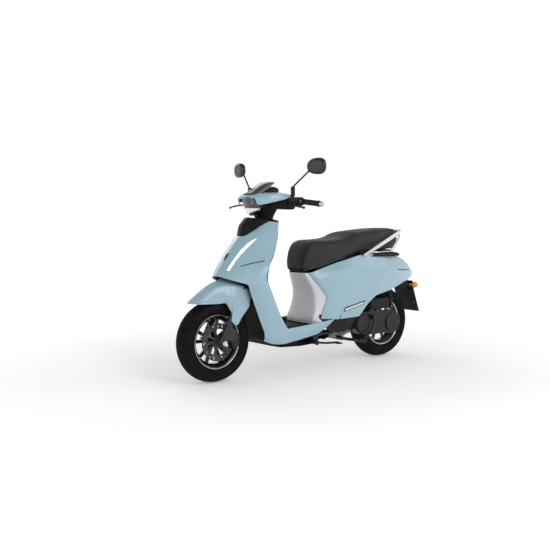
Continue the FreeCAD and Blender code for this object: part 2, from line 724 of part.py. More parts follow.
def make_rear_indicators():
    shapes = []
    for side in (-1, 1):
        stalk = rod(V(-882, side * 40.5, 476), V(-882, side * 100, 476), 7)
        lamp = Part.makeSphere(21, V(-882, side * 117, 476))
        shapes.append(lamp.fuse(stalk))
    return shapes


def make_bucket():
    """The storage well below the seat, open at its top."""
    outer = ring_z([(453, -180, 165, 82), (480, -180, 195, 92), (600, -165, 222, 98)])
    inner = ring_z([(457, -180, 161, 78), (480, -180, 191, 88), (601, -165, 218, 94)])
    rim = ring_z([(600, -165, 230, 103), (604, -165, 230, 103)])
    rim = rim.cut(ring_z([(590, -165, 218, 94), (610, -165, 218, 94)]))
    ear = plate([(40, 600), (110, 603), (110, 621), (108, 624.5), (96, 624.5), (93, 616),
        (40, 606)], 42, 47)
    shape = outer.cut(inner).fuse([rim, ear, mirrored(ear)])
    return shape.cut(rod(SEAT_HINGE + V(0, -60, 0), SEAT_HINGE + V(0, 60, 0), 6.05)).removeSplitter()


def ring_z(rows):
    """A solid through rounded plan sections: (z, middle x, half length, half width)."""
    wires = []
    for z, mid, long, wide in rows:
        points = []
        for i in range(28):
            angle = 2 * math.pi * i / 28
            c, s = math.cos(angle), math.sin(angle)
            x = mid + long * math.copysign(abs(c) ** 0.6, c)
            points.append(V(x, wide * math.copysign(abs(s) ** 0.6, s), z))
        spline = Part.BSplineCurve()
        spline.interpolate(points, PeriodicFlag=True)
        wires.append(Part.Wire([spline.toShape()]))
    return Part.makeLoft(wires, True, len(wires) < 3)


def make_frame():
    """Steel tubes: head tube, down tube, two rails from floor to seat, and their cross tubes."""
    head = tube(on_fork(HEAD_LOW_S), on_fork(HEAD_HIGH_S), 29, 23.5)
    down = pipe([on_fork(760) - AHEAD * 40, V(408, 0, 470), V(392, 0, 300), V(380, 0, 222)], 21)
    gusset = rod(on_fork(800) - AHEAD * 26, V(408, 0, 470), 10)
    parts = [down, gusset]
    rail = [V(384, 118, 222), V(-90, 118, 222), V(-196, 118, 330), V(-250, 118, 560),
        V(-330, 118, 628), V(-700, 78, 640)]
    for side in (1, -1):
        parts.append(pipe([V(p.x, side * p.y, p.z) for p in rail], 13))
    for x, z, y, r in ((384, 222, 118, 11), (-90, 222, 118, 11), (-221, 440, 118, 9),
        (-700, 640, 78, 11)):
        parts.append(rod(V(x, -y, z), V(x, y, z), r))
    for side in (1, -1):
        ear = plate([(-90, 222), (-150, 285), (-228, 276), (-228, 248), (-150, 240), (-110, 205)], 74,
            80)
        link = rod(V(-150, 76, 262), V(-150, 122, 262), 9)
        lug = plate([(-574, 632), (-606, 632), (-602, 588), (-578, 588)], 92, 98)
        for piece in (ear, link, lug):
            parts.append(piece if side > 0 else mirrored(piece))
    shape = head
    for piece in parts:
        shape = shape.fuse(piece)
    shape = shape.cut(rod(on_fork(HEAD_LOW_S - 60), on_fork(HEAD_HIGH_S + 60), 23.5))
    shape = shape.cut(rod(V(-215, -90, 262), V(-215, 90, 262), 8.05))
    shape = shape.cut(rod(SHOCK_TOP + V(0, -130, 0), SHOCK_TOP + V(0, 130, 0), 5.05))
    p = SIDE_STAND_PIVOT
    stand_boss = box((p.x - 20, 100, p.z + 4 - 12), (p.x + 20, 121.5, 214))
    stand_bolt = rod(p + V(0, -12, 0), p + V(0, 14, 0), 5)
    return shape.fuse([stand_boss, stand_bolt]).removeSplitter()


def make_head_bearings():
    low = tube(on_fork(HEAD_LOW_S + 0.5), on_fork(HEAD_LOW_S + 14), 23.4, 12.77)
    high = tube(on_fork(HEAD_HIGH_S - 14), on_fork(HEAD_HIGH_S - 0.5), 23.4, 12.77)
    return [low, high]


def make_fuel_tank():
    tank = soft_box((-690, -62, 572), (-430, 62, 622), 14)
    neck = rod(V(-470, 0, 618), V(-470, 0, 640), 24)
    return tank.fuse(neck)


def make_seat_base():
    """The seat's pan with its front hinge and the loop of its latch."""
    pan = plate([(92, 620), (-104, 664), (-340, 714), (-700, 714), (-700, 722), (-340, 722),
        (-104, 672), (92, 629)], -88, 88)
    hinge = rod(SEAT_HINGE + V(0, -48, 0), SEAT_HINGE + V(0, 48, 0), 6)
    knuckle = box((88, -36, 612), (103, 36, 626))
    latch = pipe([V(-660, -12, 716), V(-660, -12, 690), V(-660, 12, 690), V(-660, 12, 716)], 4)
    shape = pan.fuse([hinge, knuckle, latch])
    return shape.removeSplitter()


SEAT = [  # x, lowest z, highest z, half width, half width of its lower edge
    (112, 632, 650, 62, 60),
    (100, 628, 718, 86, 86),
    (60, 638, 790, 106, 104),
    (0, 650, 803, 122, 120),
    (-120, 676, 810, 138, 134),
    (-230, 700, 822, 142, 136),
    (-340, 722.5, 852, 136, 128),
    (-500, 722.5, 864, 126, 106),
    (-640, 722.5, 868, 113, 92),
    (-715, 730, 858, 94, 78),
    (-742, 756, 836, 66, 56),
]


def make_seat_cushion():
    wires = []
    for x, low, high, half, foot in SEAT:
        top, tall = high - 3, high - 3 - low
        points = [V(x, foot, low), V(x, half, low + 0.5 * tall), V(x, 0.86 * half, low + 0.86 * tall)]
        points += [V(x, 0.5 * half, top), V(x, 0, high)]
        points += [V(p.x, -p.y, p.z) for p in points[-2::-1]]
        wires.append(Part.makePolygon(points + [points[0]]))
    shape = Part.makeLoft(wires, True, True)
    pan = plate([(94, 560), (94, 629.6), (-104, 672.6), (-340, 722.6), (-701, 722.6), (-701, 560)],
        -89, 89)
    under = plate([(130, 560), (130, 618), (96, 621), (-104, 665), (-340, 706), (-560, 722.4),
        (-760, 722.4), (-760, 560)], -200, 200)
    return max(shape.cut(pan).cut(under).Solids, key=lambda s: s.Volume)


# ---------------------------------------------------------------- engine and rear suspension
def make_engine_case():
    """The crankcase and the drive arm beside the rear wheel, bored for the pivot and the rear axle."""
    crank = soft_box((-330, -72, 188), (-232, 58, 330), 12)
    nose = plate([(-300, 300), (-200, 280), (-198, 244), (-300, 200)], -60, 60)
    arm = [(-330, 320), (-560, 322), (-634, 318), (-640, 345), (-655, 358), (-670, 345), (-684, 300)]
    arm += [(-700, 236), (-650, 190), (-560, 188), (-330, 196)]
    left = plate(arm, 64, 82)
    link = box((-330, 50, 200), (-250, 82, 320))
    gear = rod(V(REAR_X, 64, TYRE_R), V(REAR_X, 100, TYRE_R), 52)
    right = plate([(-331, 214), (-331, 258), (-628, 268), (-640, 345), (-655, 358), (-670, 345),
        (-684, 236),
                   (-664, 206)], -84, -72)
    right_link = box((-346, -80, 214), (-318, -50, 256))
    pins = both(rod(V(SHOCK_LOW.x, 70, SHOCK_LOW.z), V(SHOCK_LOW.x, 114, SHOCK_LOW.z), 5))
    foot = rod(V(-215, -52, 170), V(-215, 52, 170), 14)
    ribs = plate([(-330, 196), (-205, 250), (-201, 170), (-229, 160)], -46, 46)
    shape = crank.fuse([nose, left, link, gear, right, right_link, foot, ribs] + pins)
    shape = shape.cut(rod(V(-215, -100, 262), V(-215, 100, 262), 8.05))
    shape = shape.cut(rod(V(REAR_X, -100, TYRE_R), V(REAR_X, 140, TYRE_R), 12.05))
    shape = shape.cut(rod(V(-215, -80, 170), V(-215, 80, 170), 7.05))
    return shape.removeSplitter()


def make_pivot_bolt():
    """The bolt that the engine hangs on, through both ears of the frame."""
    pin = rod(ENGINE_PIVOT + V(0, -88, 0), ENGINE_PIVOT + V(0, 88, 0), 8)
    ends = [rod(ENGINE_PIVOT + V(0, y, 0), ENGINE_PIVOT + V(0, y + 8, 0), 13) for y in (-88.2, 80.2)]
    return pin.fuse(ends).removeSplitter()


def make_rear_axle():
    pin = rod(REAR_AXLE + V(0, -96, 0), REAR_AXLE + V(0, 99, 0), 11.98)
    nut = rod(REAR_AXLE + V(0, -96, 0), REAR_AXLE + V(0, -84.4, 0), 17)
    return pin.fuse(nut).removeSplitter()


def make_belt_cover():
    """The long cover of the belt drive, with the round bosses of its two pulleys."""
    outline = [(-282, 300), (-330, 330), (-400, 330), (-560, 322), (-660, 318), (-706, 280),
        (-712, 232)]
    outline += [(-690, 186), (-640, 166), (-560, 176), (-400, 178), (-330, 190), (-286, 226)]
    body = plate(outline, 100.5, 138)
    joint = plate(outline, 82.3, 100.5).cut(rod(V(REAR_X, 60, TYRE_R), V(REAR_X, 104, TYRE_R), 53))
    front = rod(V(-352, 138, 258), V(-352, 150, 258), 58)
    rear = rod(V(-632, 138, 244), V(-632, 146, 244), 62)
    bead = plate([(-356, 306), (-630, 300), (-630, 286), (-356, 292)], 138, 143)
    shape = body.fuse([joint, front, rear, bead])
    hollow = plate([(-300, 296), (-560, 312), (-650, 306), (-696, 262), (-690, 204), (-640, 180),
        (-330, 200)], 84, 134)
    p = KICK_PIVOT
    shape = shape.cut(hollow.cut(rod(p + V(0, 80, 0), p + V(0, 140, 0), 16)))
    return shape.cut(rod(p + V(0, 70, 0), p + V(0, 160, 0), 9.05)).removeSplitter()


def make_cylinder():
    """The finned cylinder lying forward, its head, and the fan cowl on the right."""
    shape = box((-300, -40, 331), (-240, 40, 345))
    for i in range(7):
        fin = soft_box((-312, -48, 334 + i * 9), (-226, 44, 338 + i * 9), 1.4)
        shape = shape.fuse(fin)
    core = box((-298, -36, 331), (-238, 34, 402))
    cowl = rod(V(-276, -72.2, 262), V(-276, -84, 262),
        37).fuse(rod(V(-276, -84, 262), V(-276, -112, 262), 40.5))
    return [shape.fuse(core).removeSplitter(), cowl.removeSplitter()]


def make_muffler():
    port = [V(-268, -48.5, 372), V(-232, -98, 336), V(-222, -130, 262), V(-330, -150, 196),
        V(-430, -150, 214)]
    header = pipe(port, 12).cut(box((-330, -48.2, 320), (-200, 60, 420)))
    can = rod(V(-420, -150, 212), V(-790, -150, 292), 46)
    tail = rod(V(-790, -150, 292), V(-826, -150, 300), 15)
    shield = rod(V(-460, -160, 226), V(-740, -160, 287), 42)
    bracket = plate([(-560, 262), (-622, 262), (-622, 210), (-560, 210)], -112, -84.2)
    shape = header.fuse([can, tail, shield, bracket])
    return shape.removeSplitter()


def make_air_box():
    case = soft_box((-600, 84, 340), (-420, 146, 412), 14)
    snout = rod(V(-440, 110, 380), V(-360, 60, 370), 17)
    return case.fuse(snout).removeSplitter()


def shock_at(distance, y):
    """A point so far down the shock absorber from its top eye."""
    along = (SHOCK_LOW - SHOCK_TOP).normalize()
    return SHOCK_TOP + along * distance + V(0, y, 0)


def make_shock_rods():
    shapes = []
    for side in (-1, 1):
        y = side * (SHOCK_Y + 8)
        eye = rod(SHOCK_TOP + V(0, y - 8, 0), SHOCK_TOP + V(0, y + 8, 0), 13)
        bar = rod(shock_at(10, y), shock_at(150, y), 6)
        cup = rod(shock_at(18, y), shock_at(26, y), 24)
        pin = rod(SHOCK_TOP + V(0, side * 90, 0), SHOCK_TOP + V(0, side * 122, 0), 5)
        shapes.append(eye.fuse([bar, cup, pin]).removeSplitter())
    return shapes


def make_shock_dampers():
    shapes = []
    for side in (-1, 1):
        y = side * (SHOCK_Y + 8)
        body = rod(shock_at(128, y), shock_at(252, y), 15)
        perch = rod(shock_at(206, y), shock_at(212, y), 24)
        eye = rod(SHOCK_LOW + V(0, y - 8, 0), SHOCK_LOW + V(0, y + 8, 0), 16)
        bore = rod(shock_at(120, y), shock_at(238, y), 6.3)
        hole = rod(SHOCK_LOW + V(0, y - 20, 0), SHOCK_LOW + V(0, y + 20, 0), 8.5)
        shapes.append(body.fuse([perch, eye]).cut(bore).cut(hole).removeSplitter())
    return shapes


def make_shock_springs():
    """Each coil spring, between the shock absorber's two cups."""
    shapes = []
    turns, wire_r, coil_r = 8, 3.6, 19.5
    length = 205.5 - 26.5 - 2 * wire_r
    for side in (-1, 1):
        helix = Part.makeHelix(length / turns, length, coil_r)
        start = Part.Wire([Part.makeCircle(wire_r, V(coil_r, 0, 0), V(0, 1, 0))])
        coil = Part.Wire(helix.Edges).makePipeShell([start], True, True)
        coil.rotate(V(0, 0, 0), Y_AXIS, math.degrees(math.atan2(SHOCK_LOW.x - SHOCK_TOP.x,
            SHOCK_LOW.z - SHOCK_TOP.z)))
        coil.translate(shock_at(26.5 + wire_r, side * (SHOCK_Y + 8)))
        shapes.append(coil)
    return shapes


# ---------------------------------------------------------------- stands and levers
def make_centre_stand():
    """Folded back under the engine: two legs with splayed feet, a cross bar and the tang to press."""
    p = CENTRE_STAND_PIVOT
    shape = rod(p + V(0, -92, 0), p + V(0, 92, 0), 7)
    shape = shape.fuse([rod(p + V(0, 53, 0), p + V(0, 92, 0), 14),
        rod(p + V(0, -92, 0), p + V(0, -53, 0), 14)])
    for side in (-1, 1):
        leg = pipe([p + V(-14, side * 78, -4), p + V(-116, side * 100, -24),
            p + V(-158, side * 132, -30)], 10)
        foot = box((-6, -16, -8), (6, 16, 8))
        foot.translate(p + V(-158, side * 134, -33))
        shape = shape.fuse([leg, foot])
    bar = rod(p + V(-60, -90, -13.5), p + V(-60, 90, -13.5), 9)
    tang = pipe([p + V(-60, 84, -14), p + V(-64, 130, -14), p + V(-88, 138, -14)], 6)
    return shape.fuse([bar, tang]).removeSplitter()


def make_side_stand():
    """Folded back along the left rail: a leg with a flat foot on a pivot bolt."""
    p = SIDE_STAND_PIVOT
    eye = rod(p + V(0, -3.5, 0), p + V(0, 10, 0), 15)
    leg = pipe([p + V(-6, 4, 0), p + V(-80, 8, -10), p + V(-172, 14, -14)], 7)
    foot = box((-198, 0, -24), (-160, 28, -17))
    foot.translate(p)
    return eye.fuse([leg, foot]).cut(rod(p + V(0, -9, 0), p + V(0, 12, 0), 5.05)).removeSplitter()


KICK_PIVOT = V(-436, 0, 292)


def make_kick_starter():
    """The kick lever on its splined shaft, its arm lying forward and the pedal at its end."""
    p = KICK_PIVOT
    shaft = rod(p + V(0, 84, 0), p + V(0, 168, 0), 9)
    boss = rod(p + V(0, 152, 0), p + V(0, 170, 0), 17)
    arm = pipe([p + V(0, 161, 0), p + V(4, 166, -40), p + V(26, 168, -78), p + V(70, 168, -110),
        p + V(116, 170, -126)], 8)
    pedal = rod(p + V(116, 158, -126), p + V(116, 206, -126), 10)
    return shaft.fuse([boss, arm, pedal]).removeSplitter()


def make_key():
    barrel = rod(LOCK + LOCK_OUT * 4, LOCK + LOCK_OUT * 28, 10)
    grip = soft_box((-12, -4, 0), (12, 4, 34), 3)
    grip.rotate(V(0, 0, 0), Y_AXIS, -math.degrees(math.atan2(-LOCK_OUT.x, LOCK_OUT.z)))
    grip.translate(LOCK + LOCK_OUT * 26)
    return barrel.fuse(grip).removeSplitter()


def main():
    os.makedirs("parts", exist_ok=True)
    painted, top = make_shields()
    sill, side = make_sill(), make_flank()
    save("frame", make_frame())
    save("front_shield", painted)
    save("shield_top_panel", top)
    save("inner_shield", make_inner_shield())
    save("side_sills", *both(sill))
    save("floor_mat", make_floor())
    save("belly_pan", make_belly())
    save("centre_panel", make_centre_panel())
    save("rear_body_panels", *both(side), make_tail_cover())
    save("tail_lamp", make_tail_lamp())
    save("grab_rail", make_grab_rail())
    save("rear_mudguard", make_rear_mudguard())
    save("rear_indicators", *make_rear_indicators())
    save("storage_bucket", make_bucket())
    save("fuel_tank", make_fuel_tank())
    save("battery", soft_box((120, -60, 186), (230, 60, 262), 4))
    save("head_bearings", *make_head_bearings())
    save("seat_base", make_seat_base())
    save("seat_cushion", make_seat_cushion())
    save("ignition_key", make_key())
    save("side_stand", make_side_stand())
    save("fork_yoke", make_fork_yoke())
    save("front_mudguard", make_front_mudguard())
    save("handlebar", make_handlebar())
    save("headset_cover_front", make_headset_front())
    save("headset_cover_rear", make_headset_rear())
    save("headlamp_lens", make_headlamp())
    save("dash_visor", make_visor())
    save("left_grip", make_grip(1))
    save("throttle_grip", make_grip(-1))
    save("control_housings", *make_control_housings())
    save("brake_lever_left", make_lever(1))
    save("brake_lever_right", make_lever(-1))
    save("mirror_stem_left", make_mirror_stem(1))
    save("mirror_stem_right", make_mirror_stem(-1))
    save("mirror_head_left", make_mirror_head(1))
    save("mirror_head_right", make_mirror_head(-1))
    save("horn_button", box((240, 205.4, 1016.4), (251, 218.6, 1027.6)))
    save("indicator_switch", box((240, 208, 1037.4), (251, 220, 1050.6)))
    save("starter_button", box((240, -221.6, 1021.4), (251, -206.4, 1034.6)))
    save("fork_sliders", *make_fork_sliders())
    save("front_axle", make_front_axle())
    save("front_caliper", make_caliper())
    save("front_wheel_rim", make_rim(FRONT_AXLE, 5, 7.55))
    save("front_tyre", make_tyre(FRONT_AXLE))
    save("front_brake_disc", make_disc(FRONT_AXLE))
    save("engine_case", make_engine_case())
    save("belt_cover", make_belt_cover())
    save("cylinder", *make_cylinder())
    save("muffler", make_muffler())
    save("air_box", make_air_box())
    save("pivot_bolt", make_pivot_bolt())
    save("rear_axle", make_rear_axle())
    save("rear_wheel_rim", make_rim(REAR_AXLE, 5, 12.0))
    save("rear_tyre", make_tyre(REAR_AXLE))
    save("shock_rods", *make_shock_rods())
    save("shock_dampers", *make_shock_dampers())
    save("shock_springs", *make_shock_springs())
    save("centre_stand", make_centre_stand())
    save("kick_starter", make_kick_starter())


main()
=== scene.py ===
"""The look of a step-through moped scooter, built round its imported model.

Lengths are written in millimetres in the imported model's own frame, +X forward, +Y to the rider's left and +Z up,
and are turned into metres as each mesh is made.
"""

import math

import bmesh
import bpy
from mathutils import Matrix, Vector


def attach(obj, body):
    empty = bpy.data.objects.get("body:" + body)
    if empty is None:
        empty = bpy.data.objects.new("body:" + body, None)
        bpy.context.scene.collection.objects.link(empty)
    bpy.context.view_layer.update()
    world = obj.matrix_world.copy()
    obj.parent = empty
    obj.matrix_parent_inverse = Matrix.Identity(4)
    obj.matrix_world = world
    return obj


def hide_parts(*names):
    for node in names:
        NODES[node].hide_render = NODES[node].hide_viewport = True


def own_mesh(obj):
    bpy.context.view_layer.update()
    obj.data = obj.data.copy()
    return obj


MM = 0.001
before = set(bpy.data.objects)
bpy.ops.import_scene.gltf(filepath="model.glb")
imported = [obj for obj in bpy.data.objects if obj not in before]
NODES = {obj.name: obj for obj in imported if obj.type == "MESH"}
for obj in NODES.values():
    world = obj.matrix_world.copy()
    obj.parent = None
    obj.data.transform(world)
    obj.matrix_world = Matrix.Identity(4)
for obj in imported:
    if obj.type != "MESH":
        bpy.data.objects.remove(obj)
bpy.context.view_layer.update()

FRONT_AXLE = Vector((728.5, 0, 236.5))
REAR_AXLE = Vector((-641.5, 0, 236.5))
RAKE = math.radians(26.5)  # how far the steering axis leans back
FORK_Y, SHOCK_Y = 88, 108  # from the middle plane to a fork leg and to a shock absorber
SHOCK_TOP, SHOCK_LOW = Vector((-590, 0, 600)), Vector((-655, 0, 345))
MIRROR_FOOT = Vector((300, 205, 1071))
LOCK, LOCK_OUT = Vector((352, -78, 800)), Vector((-0.975, 0, 0.222))
SIDES = (("left", 1), ("right", -1))


# ---------------------------------------------------------------- materials
class Shader:
    """A material whose nodes are wired through short calls."""

    def __init__(self, name, color, rough, metallic=0.0, **sockets):
        self.material = bpy.data.materials.new(name)
        self.material.use_nodes = True
        self.tree = self.material.node_tree
        self.bsdf = self.tree.nodes["Principled BSDF"]
        self.coords = self.tree.nodes.new("ShaderNodeTexCoord").outputs["Object"]
        self.height = None
        self.bsdf.inputs["Base Color"].default_value = (*color, 1)
        self.bsdf.inputs["Roughness"].default_value = rough
        self.bsdf.inputs["Metallic"].default_value = metallic
        for key, value in sockets.items():
            self.bsdf.inputs[key.replace("_", " ")].default_value = value
        self.color = color

    def noise(self, scale, detail=3.0, stretch=None):
        node = self.tree.nodes.new("ShaderNodeTexNoise")
        node.inputs["Scale"].default_value = scale
        node.inputs["Detail"].default_value = detail
        source = self.coords
        if stretch:
            mapping = self.tree.nodes.new("ShaderNodeMapping")
            mapping.inputs["Scale"].default_value = stretch
            self.tree.links.new(source, mapping.inputs["Vector"])
            source = mapping.outputs["Vector"]
        self.tree.links.new(source, node.inputs["Vector"])
        return node.outputs["Fac"]

    def cells(self, scale, feature="DISTANCE_TO_EDGE"):
        node = self.tree.nodes.new("ShaderNodeTexVoronoi")
        node.feature = feature
        node.inputs["Scale"].default_value = scale
        self.tree.links.new(self.coords, node.inputs["Vector"])
        return node.outputs["Distance"]

    def spread(self, value, low, high, at=(0.3, 0.7)):
        node = self.tree.nodes.new("ShaderNodeMapRange")
        node.inputs["From Min"].default_value = at[0]
        node.inputs["From Max"].default_value = at[1]
        node.inputs["To Min"].default_value = low
        node.inputs["To Max"].default_value = high
        self.tree.links.new(value, node.inputs["Value"])
        return node.outputs["Result"]

    def tint(self, value, other, at=(0.35, 0.65)):
        """Colour that goes from the base colour to the other one as the value rises."""
        ramp = self.tree.nodes.new("ShaderNodeValToRGB")
        ramp.color_ramp.elements[0].position = at[0]
        ramp.color_ramp.elements[1].position = at[1]
        ramp.color_ramp.elements[0].color = (*self.color, 1)
        ramp.color_ramp.elements[1].color = (*other, 1)
        self.tree.links.new(value, ramp.inputs["Fac"])
        self.tree.links.new(ramp.outputs["Color"], self.bsdf.inputs["Base Color"])
        return self

    def rough(self, value, low, high, at=(0.3, 0.7)):
        self.tree.links.new(self.spread(value, low, high, at), self.bsdf.inputs["Roughness"])
        return self

    def bump(self, value, strength, distance):
        node = self.tree.nodes.new("ShaderNodeBump")
        node.inputs["Strength"].default_value = strength
        node.inputs["Distance"].default_value = distance
        self.tree.links.new(value, node.inputs["Height"])
        if self.height:
            self.tree.links.new(self.height, node.inputs["Normal"])
        self.height = node.outputs["Normal"]
        self.tree.links.new(self.height, self.bsdf.inputs["Normal"])
        return self


def finish(name, color, rough, tint=None, wear=None, bumps=(), metallic=0.0, **sockets):
    """A material from a few numbers.

    tint is a noise's scale and detail and the colour that it mixes in, wear is a noise's scale and detail and the
    lowest and highest roughness, and each bump is a pattern's scale, its detail (None for cells), strength and height.
    """
    s = Shader(name, color, rough, metallic, **sockets)
    if tint:
        s.tint(s.noise(*tint[:2]), tint[2])
    if wear:
        s.rough(s.noise(*wear[:2], *wear[4:]), *wear[2:4])
    for scale, detail, strength, height, *stretch in bumps:
        pattern = s.noise(scale, detail, *stretch) if detail else s.cells(scale)
        s.bump(pattern, strength, height)
    return s


def lens(name, color, rough=0.03, transmission=1.0):
    return finish(name, color, rough, None, (90, 3, rough, rough + 0.05), [(260, 2, 0.03, 0.0002)],
                  IOR=1.45, Transmission_Weight=transmission)


def prism_lens(name, color, other):
    s = finish(name, color, 0.12, IOR=1.5, Transmission_Weight=0.35, Coat_Weight=0.6)
    s.tint(s.cells(170, "F1"), other, at=(0.1, 0.8))
    return s.bump(s.cells(210, "F1"), 0.5, 0.0006)


def lamp_strip():
    s = finish("lamp_strip", (0.95, 0.96, 0.98), 0.16, (60, 2, (0.88, 0.9, 0.93)), (60, 3, 0.1, 0.2),
               [(300, 2, 0.05, 0.0002)], Emission_Strength=1.1, Coat_Weight=0.6)
    s.bsdf.inputs["Emission Color"].default_value = (0.93, 0.97, 1.0, 1)
    return s


SHADERS = {
    "paint": finish("blue_paint", (0.262, 0.405, 0.48), 0.3, (1.6, 2, (0.272, 0.418, 0.495)), (14, 4, 0.26, 0.36),
                    [(420, 2, 0.05, 0.0002)], Coat_Weight=0.5, Coat_Roughness=0.06),
    "black": finish("grained_black", (0.008, 0.0075, 0.007), 0.55, (9, 4, (0.013, 0.012, 0.0115)),
                    (40, 4, 0.48, 0.62), [(650, None, 0.35, 0.0003)], Specular_IOR_Level=0.2),
    "brown": finish("brown_black_panel", (0.009, 0.007, 0.0065), 0.5, (7, 3, (0.015, 0.012, 0.011)),
                    (30, 3, 0.46, 0.6), [(900, 2, 0.15, 0.0002)], Specular_IOR_Level=0.1),
    "gloss": finish("gloss_black", (0.005, 0.005, 0.0055), 0.16, (6, 3, (0.008, 0.008, 0.009)), (25, 4, 0.10, 0.22),
                    [(300, 2, 0.04, 0.0002)], Specular_IOR_Level=0.4, Coat_Weight=0.25, Coat_Roughness=0.05),
    "enamel": finish("satin_enamel", (0.007, 0.007, 0.0075), 0.38, (18, 5, (0.012, 0.0115, 0.0115)),
                     (45, 5, 0.28, 0.46), [(520, 3, 0.12, 0.0003)], Specular_IOR_Level=0.25, Coat_Weight=0.1,
                     Coat_Roughness=0.2),
    "grey": finish("pale_grey_panel", (0.60, 0.60, 0.645), 0.24, (2.2, 2, (0.64, 0.64, 0.68)), (18, 4, 0.2, 0.3),
                   [(380, 2, 0.05, 0.0002)], Coat_Weight=0.4, Coat_Roughness=0.06),
    "mat": finish("grey_rubber", (0.115, 0.108, 0.102), 0.7, (30, 5, (0.17, 0.16, 0.15)), (60, 4, 0.6, 0.82),
                  [(1100, 3, 0.4, 0.0004)]),
    "leather": finish("seat_cover", (0.017, 0.0145, 0.013), 0.52, (5, 4, (0.023, 0.020, 0.018)), (22, 4, 0.46, 0.64),
                      [(520, None, 0.45, 0.0004), (1500, 3, 0.25, 0.00025)], Specular_IOR_Level=0.28,
                      Sheen_Weight=0.04, Sheen_Roughness=0.45),
    "tyre": finish("tyre_rubber", (0.0045, 0.0045, 0.005), 0.72, (22, 6, (0.009, 0.0088, 0.0085)),
                   (60, 4, 0.68, 0.88), [(700, 4, 0.3, 0.0004)], Specular_IOR_Level=0.09),
    "silver": finish("satin_silver", (0.60, 0.60, 0.60), 0.3, (10, 3, (0.68, 0.68, 0.675)), (60, 4, 0.24, 0.38),
                     [(900, 2, 0.06, 0.0001)], metallic=0.85),
    "steel": finish("brushed_steel", (0.52, 0.52, 0.53), 0.28, (20, 3, (0.66, 0.66, 0.66)),
                    (120, 4, 0.22, 0.42, (1, 14, 1)), [(600, 2, 0.1, 0.0001, (1, 12, 1))], metallic=1.0),
    "cast": finish("cast_aluminium", (0.20, 0.20, 0.205), 0.5, (14, 5, (0.30, 0.30, 0.30)), (50, 5, 0.4, 0.62),
                   [(900, None, 0.3, 0.0002), (500, 4, 0.35, 0.0004)], metallic=0.9),
    "dark_cast": finish("dark_casting", (0.03, 0.03, 0.031), 0.48, (14, 5, (0.055, 0.054, 0.053)),
                        (50, 5, 0.4, 0.6), [(500, 4, 0.4, 0.0004)], metallic=0.4),
    "chrome": finish("bright_plating", (0.82, 0.83, 0.84), 0.06, None, (40, 4, 0.04, 0.12),
                     [(200, 2, 0.02, 0.0001)], metallic=1.0),
    "clear": lens("clear_lens", (0.97, 0.98, 1.0)),
    "smoke": lens("smoked_screen", (0.016, 0.016, 0.018), 0.10, 0.25),
    "red": prism_lens("red_lens", (0.45, 0.008, 0.008), (0.75, 0.03, 0.03)),
    "amber": prism_lens("amber_lens", (0.72, 0.25, 0.01), (0.92, 0.42, 0.03)),
    "glow": lamp_strip(),
    "screen": finish("display_glass", (0.008, 0.010, 0.013), 0.08, (12, 2, (0.014, 0.017, 0.022)),
                     (30, 3, 0.05, 0.12), Coat_Weight=1.0, Coat_Roughness=0.02),
    "mirror": finish("mirror_glass", (0.86, 0.88, 0.89), 0.02, None, (25, 3, 0.01, 0.04), metallic=1.0),
}
MATS = {key: shader.material for key, shader in SHADERS.items()}
NODE_MATS = {
    "frame": "enamel", "inner_shield": "black", "floor_mat": "black", "belly_pan": "brown", "rear_mudguard": "black",
    "storage_bucket": "black", "fuel_tank": "enamel", "battery": "black", "head_bearings": "steel",
    "seat_base": "black", "ignition_key": "steel", "side_stand": "enamel", "fork_yoke": "enamel",
    "handlebar": "silver", "control_housings": "black", "brake_lever_left": "enamel", "brake_lever_right": "enamel",
    "mirror_stem_left": "enamel", "mirror_stem_right": "enamel", "horn_button": "gloss", "indicator_switch": "mat",
    "starter_button": "gloss", "fork_sliders": "gloss", "front_axle": "steel", "front_caliper": "enamel",
    "front_brake_disc": "dark_cast", "engine_case": "cast", "belt_cover": "enamel", "cylinder": "dark_cast",
    "muffler": "enamel", "air_box": "black", "pivot_bolt": "steel", "rear_axle": "steel", "shock_rods": "steel",
    "shock_dampers": "enamel", "shock_springs": "enamel", "centre_stand": "enamel", "kick_starter": "enamel",
    "front_shield": "paint", "shield_top_panel": "brown", "side_sills": "paint", "centre_panel": "grey",
    "rear_body_panels": "paint", "tail_lamp": "red", "grab_rail": "silver", "rear_indicators": "amber",
    "seat_cushion": "leather", "front_mudguard": "paint", "headset_cover_front": "paint",
    "headset_cover_rear": "black", "headlamp_lens": "clear", "dash_visor": "smoke", "left_grip": "black",
    "throttle_grip": "black", "mirror_head_left": "gloss", "mirror_head_right": "gloss", "front_wheel_rim": "gloss",
    "front_tyre": "tyre", "rear_wheel_rim": "gloss", "rear_tyre": "tyre",
}
for node, key in NODE_MATS.items():
    data = NODES[node].data
    data.materials.clear()
    data.materials.append(MATS[key])

# ---------------------------------------------------------------- camera, light and floor
turn, tilt = math.radians(39.46), math.radians(4.66)
back = Vector((math.sin(turn) * math.cos(tilt), math.cos(turn) * math.cos(tilt), math.sin(tilt)))
target = Vector((0.2661, 0, 0.5946))
camera_data = bpy.data.cameras.new("camera")
camera_data.sensor_width = 36.0
camera_data.lens = 53.87
camera = bpy.data.objects.new("camera", camera_data)
bpy.context.scene.collection.objects.link(camera)
camera.location = target + back * 5.0064
camera.rotation_euler = back.to_track_quat("Z", "Y").to_euler()
bpy.context.scene.camera = camera


def light(name, place, aim, size, power, color=(1, 1, 1)):
    data = bpy.data.lights.new(name, "AREA")
    data.shape = "RECTANGLE"
    data.size, data.size_y = size
    data.energy = power
    data.color = color
    ob = bpy.data.objects.new(name, data)
    ob.location = place
    ob.rotation_euler = (Vector(place) - Vector(aim)).to_track_quat("Z", "Y").to_euler()
    bpy.context.scene.collection.objects.link(ob)


